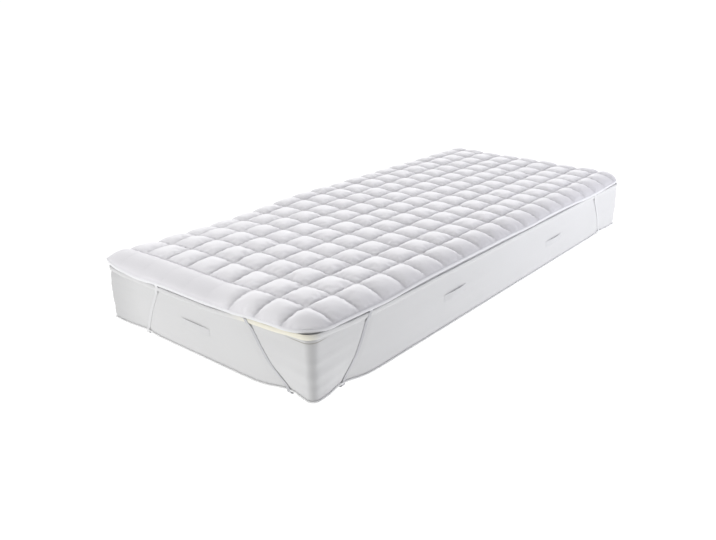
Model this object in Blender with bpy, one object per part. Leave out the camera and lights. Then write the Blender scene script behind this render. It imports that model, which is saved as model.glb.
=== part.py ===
"""A quilted mattress topper for a 90 x 200 cm bed, strapped on to its mattress.

The topper is a pad of two cloths with loose filling between them, sewn through in straight
seams to nine by twenty squares.  Its border squares roll down over the mattress's shoulder
to a bound edge, and an elastic band at each corner goes down the border and under the
mattress.  The mattress is a plain block with piping and carrying handles.

Units are metres, +Z is up, +Y runs along the bed, and the origin is on the floor under the
middle of the mattress.
"""
import math
import random

import bmesh
import bpy
from mathutils import Vector
from mathutils.bvhtree import BVHTree

# ---- mattress ------------------------------------------------------------------------------
MATTRESS_WIDTH = 0.90
MATTRESS_LENGTH = 2.00
MATTRESS_HEIGHT = 0.238
CORNER_STEPS = 5                 # stretches of the outline round each corner

# height of each ring round the mattress, how far it lies inside the 90 x 200 outline, and
# the radius of its corners, seen from above
MATTRESS_RINGS = [
    # height, inset, corner
    (0.000, 0.200, 0.022),
    (0.000, 0.080, 0.022),
    (0.000, 0.022, 0.022),
    (0.005, 0.008, 0.022),
    (0.014, 0.002, 0.022),
    (0.050, 0.001, 0.022),
    (0.105, 0.000, 0.022),
    (0.160, 0.001, 0.025),
    (0.198, 0.003, 0.032),
    (0.209, 0.007, 0.052),
    (0.220, 0.016, 0.070),
    (0.230, 0.032, 0.082),
    (0.238, 0.062, 0.085),
    (0.238, 0.150, 0.085),
    (0.238, 0.220, 0.085),
    (0.238, 0.300, 0.085),
]

# distance of the outline's points from the end of a side, up to its middle
SHORT_SIDE_STATIONS = (0.040, 0.070, 0.100, 0.130, 0.170, 0.220, 0.270, 0.320, 0.380, 0.450)
LONG_SIDE_STATIONS = (0.040, 0.080, 0.120, 0.160, 0.200, 0.260, 0.370, 0.520, 0.750, 1.000)

LOWER_SEAM = 0.014               # heights of the two piped seams round the border
UPPER_SEAM = 0.198

# the upper seam has a broad stuffed piping, the lower one a thin cord
UPPER_PIPING = (0.0075, 0.0035)  # half its height, half its depth
LOWER_PIPING = (0.0025, 0.0025)
PIPING_SIDES = 8
UPPER_PIPING_RISE = 0.009        # how much higher it runs round the front right corner
UPPER_PIPING_RISE_REACH = 0.22   # distance from the corner over which it comes down again

# the foam has gone soft along the front edge and the front half of the left edge
SAG_REACH = 0.27                 # how far a hollow reaches in from its edge
FRONT_SAG = 0.0165
FRONT_SAG_STARTS = (0.26, 0.02)  # the hollow begins at the first x and is full at the second
FRONT_SAG_ENDS = (-0.36, -0.47)
FRONT_SAG_AT_CORNER = 0.50       # share of it that is left at the left corner
LEFT_SAG = 0.015
LEFT_SAG_STARTS = (-0.15, -0.50)
LEFT_SAG_ENDS = (-0.80, -1.00)
SAG_STARTS_AT = 0.06             # height from which the border takes part in it

# at the front left corner the foam bulges out of the 90 x 200 outline
BULGE = 0.009
BULGE_STARTS_X = (-0.25, -0.44)
BULGE_STARTS_Y = (-0.50, -0.88)

# the taut strap has lifted the foam at the front right corner off the floor a little
LIFT = 0.010
LIFT_REACH = 0.26
LIFT_HEIGHT = 0.10               # height at which the border no longer takes part in it

# ---- carrying handles ----------------------------------------------------------------------
HANDLE_LENGTH = 0.130
HANDLE_WIDTH = 0.026
HANDLE_THICKNESS = 0.002
HANDLE_BOW = 0.0025              # how far the middle stands off the border

HANDLES = [
    # name, outward x, outward y, place along the side, height of its middle
    ("right_front", 1, 0, -0.340, 0.115),
    ("right_back", 1, 0, 0.357, 0.102),
    ("left_front", -1, 0, -0.340, 0.108),
    ("left_back", -1, 0, 0.350, 0.105),
    ("front", 0, -1, -0.020, 0.105),
    ("back", 0, 1, 0.000, 0.105),
]

# ---- topper --------------------------------------------------------------------------------
SQUARES_ACROSS = 9
SQUARES_ALONG = 20
SQUARE = 0.102                   # distance between seams
BORDER_REACH_X = 0.099           # how far a border square reaches out from the last seam
BORDER_REACH_Y = 0.094
SEAM_HEIGHT = 0.246              # top of the pad where it is sewn through
PUFF_HEIGHT = 0.015              # rise of a square's middle over its seams
PUFF_SPREAD = 0.12               # how unevenly the squares are filled

# each square rises in two steps and a low peak
PUFF_STEPS = [
    # width of the step, share of the rise
    (0.015, 0.66),
    (0.016, 0.93),
]
PUFF_SLOPE = 0.8                 # steepest slope of a puff where it comes down to the hem
CORNER_CUTS = 2                  # extra points on each outer edge of a corner square
BORDER_BEND = 0.5                # where the seams between border squares bend, from the hem

# how round the topper's corners are: 1 is a quarter circle and 0 is square
CORNER_ROUNDNESS = {
    # side of x, side of y
    (1, -1): 1.0,
    (-1, -1): 0.55,
    (1, 1): 0.9,
    (-1, 1): 0.9,
}
BORDER_DROP = 0.0180             # how much lower the hem lies than the seams
BORDER_DROP_POWER = 2.2
BORDER_TILT = math.radians(58)   # how far the border squares have turned outwards at the hem

# places where the hem hangs lower, mostly where a strap pulls it down
HEM_DROOPS = [
    # outward x, outward y, place along the side, depth, half width
    (0, -1, -0.270, 0.0065, 0.075),
    (0, -1, 0.200, 0.0070, 0.090),
    (1, 0, -0.700, 0.0070, 0.120),
    (1, 0, 0.140, 0.0040, 0.100),
    (1, 0, 0.700, 0.0090, 0.200),
    (0, 1, -0.180, 0.0060, 0.090),
    (0, 1, 0.190, 0.0070, 0.090),
    (-1, 0, -0.700, 0.0065, 0.110),
    (-1, 0, 0.050, 0.0035, 0.120),
    (-1, 0, 0.710, 0.0070, 0.120),
]

# the pad's edge is pressed flat and covered by the binding
EDGE_LENGTH = 0.0085
EDGE_HALF_THICKNESS = 0.0016
EDGE_LEAN = math.radians(20)     # the edge hangs down and leans outwards by this much
BINDING_CLOTH = 0.0010
BINDING_STARTS = 0.0015          # bare length of the pressed edge above the binding

# rings of the pad's under side: inset from the mattress's outline, room over the mattress
UNDERSIDE_RINGS = [
    # inset, room
    (0.016, 0.0020),
    (0.032, 0.0020),
    (0.062, 0.0020),
    (0.150, 0.0026),
    (0.220, 0.0024),
    (0.300, 0.0012),
    (0.340, 0.0003),
]

# ---- elastic corner straps -----------------------------------------------------------------
STRAP_WIDTH = 0.011
STRAP_THICKNESS = 0.0012
GROOVE_WIDTH = 0.018
GROOVE_DEPTH = 0.0036
GROOVE_OVERRUN = 0.045           # how far a groove runs on past the strap's lowest stretch
STRAP_SIDE_STEPS = 8
STRAP_ROOM = 0.0020              # how far the taut strap stands off the bulging border
STRAP_SEWN_AT = 0.004            # how far down the hem's back its end is sewn
STRAP_PIPING_SHARE = 0.08        # share of its way down at which it leaves the upper piping
STRAP_PIPING_HOLD = 0.6          # share of that piping's height over which it lies flat on it
STRAP_LIFTED_SHARE = 0.6         # how much of the foam's lift it follows under the mattress

# how a strap turns under the mattress, from where it lies over the lower piping
STRAP_TURN = [
    # outwards, height, how far its face has turned down
    (-0.0004, 0.0085, 0.25),
    (-0.0045, 0.0032, 0.65),
    (-0.0150, 0.0018, 1.0),
]

# distances from the mattress's corner, measured along its short and its long side
STRAPS = [
    # name, side of x, side of y, short hem, short foot, long hem, long foot, bite, bite width
    ("front_right", 1, -1, 0.249, 0.108, 0.235, 0.136, 0.020, 0.060),
    ("front_left", -1, -1, 0.269, 0.171, 0.290, 0.190, 0.008, 0.045),
    ("back_right", 1, 1, 0.260, 0.160, 0.280, 0.168, 0.008, 0.045),
    ("back_left", -1, 1, 0.270, 0.170, 0.290, 0.180, 0.008, 0.045),
]
BITE_HEIGHT = 0.075              # height over which a strap pulls the border in

GAP = 0.0003                     # room between pieces that touch

HALF_WIDTH = MATTRESS_WIDTH / 2
HALF_LENGTH = MATTRESS_LENGTH / 2
LAST_SEAM_X = (SQUARES_ACROSS / 2 - 1) * SQUARE
LAST_SEAM_Y = (SQUARES_ALONG / 2 - 1) * SQUARE


def smooth_step(value, start, end):
    """Rises smoothly from 0 at start to 1 at end."""
    t = min(1.0, max(0.0, (value - start) / (end - start)))
    return t * t * (3 - 2 * t)


def sag(x, y):
    """How far the upper edge has sunk at this place."""
    front = FRONT_SAG * smooth_step(x, *FRONT_SAG_STARTS) * smooth_step(y + HALF_LENGTH, SAG_REACH, 0)
    front *= 1 - (1 - FRONT_SAG_AT_CORNER) * smooth_step(x, *FRONT_SAG_ENDS)
    left = LEFT_SAG * smooth_step(y, *LEFT_SAG_STARTS) * smooth_step(x + HALF_WIDTH, SAG_REACH, 0)
    left *= 1 - smooth_step(y, *LEFT_SAG_ENDS)
    return front + left


def bulge(x, y):
    """How far the foam bulges out to the left at this place."""
    return BULGE * smooth_step(x, *BULGE_STARTS_X) * smooth_step(y, *BULGE_STARTS_Y)


def lift(x, y, z):
    """How far the strap has lifted the foam at the front right corner."""
    from_corner = math.hypot(HALF_WIDTH - x, HALF_LENGTH + y) / LIFT_REACH
    return LIFT * max(0.0, 1 - from_corner ** 2) ** 2 * max(0.0, 1 - z / LIFT_HEIGHT)


# ---- making objects ------------------------------------------------------------------------
def clear_scene():
    for obj in list(bpy.data.objects):
        bpy.data.objects.remove(obj, do_unlink=True)


def make_material(name, colour, roughness):
    material = bpy.data.materials.new(name)
    material.use_nodes = True
    shader = material.node_tree.nodes["Principled BSDF"]
    shader.inputs["Base Color"].default_value = (*colour, 1.0)
    shader.inputs["Roughness"].default_value = roughness
    shader.inputs["Metallic"].default_value = 0.0
    return material


def make_collection(name):
    collection = bpy.data.collections.new(name)
    bpy.context.scene.collection.children.link(collection)
    return collection


def object_from_bmesh(name, bm, material, collection, smooth_angle=35):
    """Turns a bmesh into a smooth-shaded object with its faces pointing out."""
    bmesh.ops.recalc_face_normals(bm, faces=bm.faces[:])
    mesh = bpy.data.meshes.new(name)
    bm.to_mesh(mesh)
    bm.free()
    mesh.shade_smooth()
    mesh.set_sharp_from_angle(angle=math.radians(smooth_angle))
    mesh.materials.append(material)
    obj = bpy.data.objects.new(name, mesh)
    collection.objects.link(obj)
    return obj


def add_ring_faces(bm, lower, upper):
    """Faces between two closed rings that have the same number of points."""
    count = len(lower)
    for k in range(count):
        after = (k + 1) % count
        bm.faces.new((lower[k], lower[after], upper[after], upper[k]))


def loft(sections, closed):
    """A solid through a row of sections, each a closed loop of points.

    The row itself is closed to a ring, or else its two ends are capped.
    """
    bm = bmesh.new()
    rings = [[bm.verts.new(point) for point in section] for section in sections]
    for lower, upper in zip(rings, rings[1:]):
        add_ring_faces(bm, lower, upper)
    if closed:
        add_ring_faces(bm, rings[-1], rings[0])
    else:
        bm.faces.new(rings[0])
        bm.faces.new(rings[-1])
    return bm


# ---- mattress ------------------------------------------------------------------------------
def rounded_outline(inset, radius):
    """Points of the mattress's outline, anticlockwise, with their outward directions.

    It starts at the left end of the front side.
    """
    centre_x = HALF_WIDTH - inset - radius
    centre_y = HALF_LENGTH - inset - radius
    short_side = side_places(SHORT_SIDE_STATIONS, HALF_WIDTH)
    long_side = side_places(LONG_SIDE_STATIONS, HALF_LENGTH)
    sides = [
        # places along the side, its middle line's outward direction
        (short_side, Vector((0, -1))),
        (long_side, Vector((1, 0))),
        (short_side, Vector((0, 1))),
        (long_side, Vector((-1, 0))),
    ]
    points = []
    for places, outward in sides:
        along = Vector((-outward.y, outward.x))
        reach_out = HALF_LENGTH - inset if outward.x == 0 else HALF_WIDTH - inset
        reach_along = centre_x if outward.x == 0 else centre_y
        nominal = places[-1]
        for place in places:
            position = outward * reach_out + along * (place * reach_along / nominal)
            points.append((position, outward.copy()))
        corner = outward * (reach_out - radius) + along * reach_along
        for step in range(1, CORNER_STEPS):
            angle = math.pi / 2 * step / CORNER_STEPS
            direction = outward * math.cos(angle) + along * math.sin(angle)
            points.append((corner + direction * radius, direction))
    return points


def side_places(stations, half_side):
    """Places of a side's points, from minus to plus, measured from its middle."""
    ahead = [half_side - station for station in reversed(stations)]
    return [-place for place in reversed(ahead[1:])] + ahead


def strap_bite(x, y, z):
    """How far the straps pull the border in at this place."""
    pull = 0.0
    for _, side_x, side_y, _, short_foot, _, long_foot, bite, spread in STRAPS:
        to_long_side = HALF_WIDTH - side_x * x
        to_short_side = HALF_LENGTH - side_y * y
        near_short = math.exp(-((to_long_side - short_foot) / spread) ** 2 - (to_short_side / spread) ** 2)
        near_long = math.exp(-((to_short_side - long_foot) / spread) ** 2 - (to_long_side / spread) ** 2)
        pull += bite * (near_short + near_long)
    return pull * math.exp(-(z / BITE_HEIGHT) ** 2)


def mattress_ring(height, inset, radius):
    """One ring of the mattress: its points in space, with their outward directions."""
    ring = []
    share = smooth_step(height, SAG_STARTS_AT, UPPER_SEAM)
    for position, outward in rounded_outline(inset, radius):
        position = position - outward * strap_bite(position.x, position.y, height)
        position.x -= bulge(position.x, position.y)
        x, y = position
        ring.append((Vector((x, y, height - share * sag(x, y) + lift(x, y, height))), outward))
    return ring


def make_mattress(material, collection):
    sections = [[point for point, _ in mattress_ring(*ring)] for ring in MATTRESS_RINGS]
    bm = loft(sections, closed=False)
    return object_from_bmesh("mattress", bm, material, collection)


def make_piping(name, height, size, corner_rise, material, collection):
    """Piping sewn into a seam of the border, all the way round."""
    half_height, half_depth = size
    seam_ring = next(ring for ring in MATTRESS_RINGS if ring[0] == height)
    sections = []
    for point, outward in mattress_ring(*seam_ring):
        outward = outward.to_3d()
        from_corner = math.hypot(HALF_WIDTH - point.x, HALF_LENGTH + point.y)
        centre = point + outward * (half_depth + GAP)
        centre.z += corner_rise * smooth_step(from_corner, UPPER_PIPING_RISE_REACH, 0)
        section = []
        for side in range(PIPING_SIDES):
            angle = 2 * math.pi * side / PIPING_SIDES
            rise = Vector((0, 0, half_height * math.sin(angle)))
            section.append(centre + outward * (half_depth * math.cos(angle)) + rise)
        sections.append(section)
    return object_from_bmesh(name, loft(sections, closed=True), material, collection, 60)


def border_distance(tree, place, outward):
    """How far out the mattress's border lies at this place, along a horizontal direction."""
    far = 2 * MATTRESS_LENGTH
    start = place + outward * far
    hit = tree.ray_cast(start, -outward)[0]
    return (hit - place).dot(outward)


# ---- carrying handles ----------------------------------------------------------------------
def make_handle(name, tree, middle, outward, material, collection):
    """A flat strip along the border, sewn on at both ends and bowed out a little between."""
    along = Vector((-outward.y, outward.x, 0))
    half_thickness = HANDLE_THICKNESS / 2
    lift = Vector((0, 0, HANDLE_WIDTH / 2))
    bows = [
        # share of the length, share of the bow
        (-0.50, 0.0),
        (-0.38, 0.1),
        (-0.26, 0.8),
        (0.0, 1.0),
        (0.26, 0.8),
        (0.38, 0.1),
        (0.50, 0.0),
    ]
    centres = []
    for share, bow in bows:
        place = middle + along * (share * HANDLE_LENGTH)
        reach = max(border_distance(tree, place + side * lift, outward) for side in (-1, 0, 1))
        centres.append(place + outward * (reach + GAP + half_thickness + bow * HANDLE_BOW))
    thick = outward * half_thickness
    sections = [[c - thick - lift, c + thick - lift, c + thick + lift, c - thick + lift] for c in centres]
    return object_from_bmesh(name, loft(sections, closed=False), material, collection)


def make_handles(tree, material, collection):
    for name, outward_x, outward_y, place, height in HANDLES:
        outward = Vector((outward_x, outward_y, 0))
        middle = Vector((abs(outward_y) * place, abs(outward_x) * place, height))
        make_handle(f"handle_{name}", tree, middle, outward, material, collection)


# ---- topper --------------------------------------------------------------------------------
def plan_place(u, v):
    """Where a point of the flat pad lies, seen from above.

    The four corner squares are drawn in towards quarter discs, so that the hem runs round
    the corners.  Returns the place, how far out it is in a border square (0 to 1), and the
    outward direction there.
    """
    side_x = 1 if u > 0 else -1
    side_y = 1 if v > 0 else -1
    roundness = CORNER_ROUNDNESS[(side_x, side_y)]
    p = max(0.0, (abs(u) - LAST_SEAM_X) / SQUARE)
    q = max(0.0, (abs(v) - LAST_SEAM_Y) / SQUARE)
    disc_x = math.sqrt(1 - q * q / 2)
    disc_y = math.sqrt(1 - p * p / 2)
    x = min(abs(u), LAST_SEAM_X) + p * (1 + roundness * (disc_x - 1)) * BORDER_REACH_X
    y = min(abs(v), LAST_SEAM_Y) + q * (1 + roundness * (disc_y - 1)) * BORDER_REACH_Y
    outward = Vector((side_x * p * disc_x, side_y * q * disc_y))
    share = outward.length
    if share > 0:
        outward.normalize()
    place = Vector((side_x * x, side_y * y))
    place.x -= bulge(place.x, place.y)
    return place, min(1.0, share), outward


def hem_height(place, outward):
    """Height of the hem at this place, seen from above, whose outward direction is given."""
    droop = 0.0
    for out_x, out_y, middle, depth, half_width in HEM_DROOPS:
        along = place.x if out_x == 0 else place.y
        facing = max(0.0, outward.x * out_x + outward.y * out_y)
        droop += facing * depth * math.exp(-((along - middle) / half_width) ** 2)
    return SEAM_HEIGHT - BORDER_DROP - droop - sag(place.x, place.y)


def pad_point(u, v, rise):
    """A point of the upper cloth, that far above the line of the seams."""
    place, share, outward = plan_place(u, v)
    rise = min(rise, PUFF_SLOPE * (1 - share) * SQUARE)
    tilt = BORDER_TILT * share ** 2
    across = outward * (rise * math.sin(tilt))
    flat_height = SEAM_HEIGHT - sag(place.x, place.y)
    drop = (flat_height - hem_height(place, outward)) * share ** BORDER_DROP_POWER
    x, y = place + across
    return Vector((x, y, flat_height - drop + rise * math.cos(tilt)))


def edge_point(hem_point, outward, along_edge, across_edge):
    """A point of the hem's section, measured from the upper side of the pressed edge."""
    down = outward * math.sin(EDGE_LEAN) - Vector((0, 0, math.cos(EDGE_LEAN)))
    side = outward * math.cos(EDGE_LEAN) + Vector((0, 0, math.sin(EDGE_LEAN)))
    return hem_point + down * along_edge + side * (across_edge - EDGE_HALF_THICKNESS)


def flat_squares():
    """The flat pad as a grid of squares, with extra points round its border."""
    bm = bmesh.new()
    bmesh.ops.create_grid(bm, x_segments=SQUARES_ACROSS, y_segments=SQUARES_ALONG, size=0.5)
    for vert in bm.verts:
        vert.co.x *= SQUARES_ACROSS * SQUARE
        vert.co.y *= SQUARES_ALONG * SQUARE
    rim = {vert for edge in bm.edges if edge.is_boundary for vert in edge.verts}
    for edge in bm.edges[:]:
        outer_ends = [vert for vert in edge.verts if vert in rim]
        if len(outer_ends) == 1:
            bmesh.utils.edge_split(edge, outer_ends[0], BORDER_BEND)
    for edge in [edge for edge in bm.edges if edge.is_boundary]:
        middle = (edge.verts[0].co + edge.verts[1].co) / 2
        if abs(middle.x) < LAST_SEAM_X or abs(middle.y) < LAST_SEAM_Y:
            continue
        start = edge.verts[0]
        for cut in range(CORNER_CUTS):
            edge, start = split_off(edge, start, 1 / (CORNER_CUTS + 1 - cut))
    return bm


def split_off(edge, start, share):
    """Splits that share off the edge at its start, and returns what is left of it."""
    new_edge, new_vert = bmesh.utils.edge_split(edge, start, share)
    rest = edge if start not in edge.verts else new_edge
    return rest, new_vert


def raise_squares(bm, rng):
    """Raises each square in steps between its seams, and returns every point's rise."""
    rises = {vert: 0.0 for vert in bm.verts}
    squares = bm.faces[:]
    fills = {face: PUFF_HEIGHT * (1 + rng.uniform(-PUFF_SPREAD, PUFF_SPREAD)) for face in squares}
    for width, share in PUFF_STEPS:
        bmesh.ops.inset_individual(bm, faces=squares, thickness=width, use_even_offset=True)
        for face in squares:
            for vert in face.verts:
                rises[vert] = share * fills[face]
    for face in squares:
        fill = fills[face]
        for vert in bmesh.ops.poke(bm, faces=[face])["verts"]:
            rises[vert] = fill
    return rises


def hem_line(bm):
    """The pad's outer points in order round it."""
    first = next(edge for edge in bm.edges if edge.is_boundary)
    line = [first.verts[0], first.verts[1]]
    while True:
        last = line[-1]
        edges = [edge for edge in last.link_edges if edge.is_boundary]
        ahead = [edge.other_vert(last) for edge in edges]
        following = ahead[0] if ahead[0] is not line[-2] else ahead[1]
        if following is line[0]:
            return line
        line.append(following)


def make_pad(tree, material, collection, rng):
    """Makes the quilted pad, and returns its hem as points with their outward directions."""
    bm = flat_squares()
    hem = hem_line(bm)
    rises = raise_squares(bm, rng)
    outwards = [plan_place(vert.co.x, vert.co.y)[2].to_3d() for vert in hem]
    for vert, rise in rises.items():
        vert.co = pad_point(vert.co.x, vert.co.y, rise)
    hem_points = [(vert.co.copy(), outward) for vert, outward in zip(hem, outwards)]
    ring = hem
    for along, across in ((EDGE_LENGTH, 1), (EDGE_LENGTH, -1), (0.0, -1)):
        points = [edge_point(p, o, along, across * EDGE_HALF_THICKNESS) for p, o in hem_points]
        ring = add_ring(bm, ring, points)
    for inset, room in UNDERSIDE_RINGS:
        ring = add_ring(bm, ring, [underside_point(tree, p, inset, room) for p, _ in hem_points])
    bm.faces.new(ring)
    object_from_bmesh("quilted_pad", bm, material, collection, 80)
    return hem_points


def add_ring(bm, ring, points):
    new_ring = [bm.verts.new(point) for point in points]
    add_ring_faces(bm, ring, new_ring)
    return new_ring


def underside_point(tree, hem_point, inset, room):
    """A point of the pad's under side, over the mattress and drawn in from the hem."""
    x = hem_point.x * (HALF_WIDTH - inset) / (LAST_SEAM_X + BORDER_REACH_X)
    y = hem_point.y * (HALF_LENGTH - inset) / (LAST_SEAM_Y + BORDER_REACH_Y)
    top = tree.ray_cast(Vector((x, y, 2 * MATTRESS_HEIGHT)), Vector((0, 0, -1)))[0]
    return top + Vector((0, 0, room))


def make_binding(hem_points, material, collection):
    """The cloth strip that is folded over the pad's pressed edge."""
    inner = EDGE_HALF_THICKNESS + GAP
    outer = inner + BINDING_CLOTH
    fold = EDGE_LENGTH + GAP
    turn = fold + BINDING_CLOTH
    outline = [
        # along the edge, across the edge
        (BINDING_STARTS, outer),
        (turn, outer),
        (turn, -outer),
        (BINDING_STARTS, -outer),
        (BINDING_STARTS, -inner),
        (fold, -inner),
        (fold, inner),
        (BINDING_STARTS, inner),
    ]
    sections = [[edge_point(p, o, *place) for place in outline] for p, o in hem_points]
    return object_from_bmesh("edge_binding", loft(sections, closed=True), material, collection)


# ---- elastic corner straps -----------------------------------------------------------------
def hem_at(hem_points, place, outward):
    """The point of the hem that lies straight out from this place."""
    along = Vector((-outward.y, outward.x, 0))
    for (start, start_out), (end, end_out) in zip(hem_points, hem_points[1:] + hem_points[:1]):
        reach = (end - start).dot(along)
        share = (place - start).dot(along) / reach if reach else -1
        if 0 <= share <= 1 and start_out.dot(outward) + end_out.dot(outward) > 1:
            return start.lerp(end, share)
    raise ValueError("the hem doesn't pass this place")


def strap_start(hem_points, place, outward):
    """The strap's end, sewn to the back of the binding, and where it leaves the hem."""
    hem_point = hem_at(hem_points, place, outward)
    back = -(EDGE_HALF_THICKNESS + BINDING_CLOTH + 2 * GAP + STRAP_THICKNESS / 2)
    sewn = edge_point(hem_point, outward, STRAP_SEWN_AT, back)
    leaving = edge_point(hem_point, outward, EDGE_LENGTH + STRAP_SEWN_AT / 2, back)
    facing = outward * math.cos(EDGE_LEAN) + Vector((0, 0, math.sin(EDGE_LEAN)))
    return [(sewn, facing), (leaving, facing)]


def strap_side_run(tree, hem_points, hem, foot, outward, half_width):
    """The strap's middle line down one side: (point, facing) from the hem to the foot."""
    half_thickness = STRAP_THICKNESS / 2
    across = Vector((-outward.y, outward.x, 0)) * half_width
    run = strap_start(hem_points, hem, outward)
    over_border = half_thickness + STRAP_ROOM
    over_upper = over_border + 2 * (UPPER_PIPING[1] + GAP)
    over_lower = half_thickness + 2 * (LOWER_PIPING[1] + GAP)
    hold = UPPER_PIPING[0] * STRAP_PIPING_HOLD
    top = UPPER_SEAM - hold - sag(hem.x, hem.y)
    bottom = LOWER_SEAM + lift(foot.x, foot.y, LOWER_SEAM)
    stops = [(-2 * hold / (top - bottom), over_upper), (0, over_upper)]
    stops += [(step / STRAP_SIDE_STEPS, over_border) for step in range(1, STRAP_SIDE_STEPS)]
    stops.append((1, over_lower))
    for share, off in stops:
        place = hem.lerp(foot, STRAP_PIPING_SHARE + (1 - STRAP_PIPING_SHARE) * share)
        place.z = top + (bottom - top) * share
        flat = place - outward * place.dot(outward)
        reach = max(border_distance(tree, flat + side * across, outward) for side in (-1, 0, 1))
        run.append((flat + outward * (reach + off), outward))
    return run


def strap_turn(seam_point, outward):
    """The strap's way round the mattress's lower edge, over the lower piping."""
    down = Vector((0, 0, -1))
    lifted = seam_point.z - LOWER_SEAM
    run = []
    for out, height, turned in STRAP_TURN:
        point = seam_point + outward * out
        point.z = height + lifted * STRAP_LIFTED_SHARE
        run.append((point, outward.lerp(down, turned).normalized()))
    return run


def make_strap(strap, tree, hem_points, material, collection):
    """One elastic band: down the short side, under the corner and up the long side.

    Its sections run along the edge that it crosses, so it lies flat on both sides of it.
    """
    name, side_x, side_y, short_hem, short_foot, long_hem, long_foot, _, _ = strap
    corner = Vector((side_x * HALF_WIDTH, side_y * HALF_LENGTH, 0))
    turned = side_x * side_y
    stretches = []
    for outward, away, hem, foot, way in (
        (Vector((0, side_y, 0)), Vector((-side_x, 0, 0)), short_hem, short_foot, 1),
        (Vector((side_x, 0, 0)), Vector((0, -side_y, 0)), long_hem, long_foot, -1),
    ):
        slant = math.hypot(hem - foot, UPPER_SEAM) / UPPER_SEAM
        half_width = STRAP_WIDTH / 2 * slant
        start, end = corner + away * hem, corner + away * foot
        run = strap_side_run(tree, hem_points, start, end, outward, half_width)
        run += strap_turn(run[-1][0], outward)
        across = Vector((-outward.y, outward.x, 0)) * half_width * turned * way
        stretches.append([(point, across, facing) for point, facing in run])
    first, last = stretches[0][-1][0], stretches[1][-1][0]
    under_way = (last - first).normalized()
    under_across = Vector((under_way.y, -under_way.x, 0)) * (STRAP_WIDTH / 2)
    if under_across.dot(stretches[0][-1][1]) < 0:
        under_across.negate()
    under = [(first.lerp(last, share), under_across, Vector((0, 0, -1))) for share in (0.25, 0.75)]
    path = stretches[0] + under + list(reversed(stretches[1]))
    sections = []
    for point, across, facing in path:
        thick = facing * (STRAP_THICKNESS / 2)
        section = [-across - thick, across - thick, across + thick, thick - across]
        sections.append([point + offset for offset in section])
    bm = loft(sections, closed=False)
    object_from_bmesh(f"corner_strap_{name}", bm, material, collection)
    return first, last


def cut_groove(mattress, name, ends, collection):
    """Cuts the shallow groove in which a strap passes under the mattress."""
    start, end = ends
    along = (end - start).normalized()
    middle = (start + end) / 2
    bpy.ops.mesh.primitive_cube_add(size=1, location=(middle.x, middle.y, 0))
    cutter = bpy.context.active_object
    cutter.name = f"groove_{name}"
    cutter.scale = ((end - start).length + 2 * GROOVE_OVERRUN, GROOVE_WIDTH, 2 * GROOVE_DEPTH)
    cutter.rotation_euler.z = math.atan2(along.y, along.x)
    for owner in list(cutter.users_collection):
        owner.objects.unlink(cutter)
    collection.objects.link(cutter)
    cutter.hide_render = True
    cutter.display_type = "WIRE"
    cut = mattress.modifiers.new(cutter.name, "BOOLEAN")
    cut.operation = "DIFFERENCE"
    cut.solver = "EXACT"
    cut.object = cutter


def main():
    clear_scene()
    rng = random.Random(11)
    parts = make_collection("mattress topper on a mattress")
    cutters = make_collection("cutters")

    quilt_cloth = make_material("quilt cloth", (0.86, 0.86, 0.88), 0.85)
    binding_cloth = make_material("binding cloth", (0.84, 0.84, 0.85), 0.80)
    elastic = make_material("elastic", (0.82, 0.82, 0.82), 0.75)
    border_cloth = make_material("border cloth", (0.72, 0.74, 0.73), 0.90)
    piping_cloth = make_material("piping cloth", (0.80, 0.77, 0.66), 0.80)
    handle_cloth = make_material("handle cloth", (0.74, 0.75, 0.77), 0.80)

    mattress = make_mattress(border_cloth, parts)
    make_piping("piping_upper", UPPER_SEAM, UPPER_PIPING, UPPER_PIPING_RISE, piping_cloth, parts)
    make_piping("piping_lower", LOWER_SEAM, LOWER_PIPING, 0, piping_cloth, parts)

    shape = bmesh.new()
    shape.from_mesh(mattress.data)
    tree = BVHTree.FromBMesh(shape)
    shape.free()
    make_handles(tree, handle_cloth, parts)

    hem_points = make_pad(tree, quilt_cloth, parts, rng)
    make_binding(hem_points, binding_cloth, parts)
    for strap in STRAPS:
        groove_ends = make_strap(strap, tree, hem_points, elastic, parts)
        cut_groove(mattress, strap[0], groove_ends, cutters)


main()
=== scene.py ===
# %% [markdown]
# # A quilted mattress topper, strapped on to its mattress
#
# This lesson dresses a packed CAD model of a mattress topper.  The CAD gives every
# piece its true place and size.  Here each piece is made again with the softness,
# stitching and cloth that a camera sees, and the CAD solid it stands for is hidden.
#
# The first cell loads the frame.

# %% Load the frame
import math

import bpy
import numpy as np
from mathutils import Matrix, Vector, noise
from mathutils.bvhtree import BVHTree


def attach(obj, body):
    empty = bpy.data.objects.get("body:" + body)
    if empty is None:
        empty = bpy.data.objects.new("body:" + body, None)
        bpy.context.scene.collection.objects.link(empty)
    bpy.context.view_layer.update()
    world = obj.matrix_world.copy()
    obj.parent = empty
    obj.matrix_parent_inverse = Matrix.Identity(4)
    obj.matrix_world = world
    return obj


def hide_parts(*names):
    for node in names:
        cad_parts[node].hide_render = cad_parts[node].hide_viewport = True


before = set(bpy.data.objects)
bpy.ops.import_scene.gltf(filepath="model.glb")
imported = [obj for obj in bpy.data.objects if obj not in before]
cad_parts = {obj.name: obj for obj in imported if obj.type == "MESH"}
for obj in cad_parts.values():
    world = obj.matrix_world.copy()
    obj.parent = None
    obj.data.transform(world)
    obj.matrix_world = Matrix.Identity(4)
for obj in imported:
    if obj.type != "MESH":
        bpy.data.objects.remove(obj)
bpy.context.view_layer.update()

# %% [markdown]
# ## Sizes
#
# All sizes are in metres.  The bed is a 90 x 200 cm single, and the topper is sewn
# through to nine by twenty squares.  Its outer row of squares rolls down over the
# mattress's shoulder on all four sides.

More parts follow.
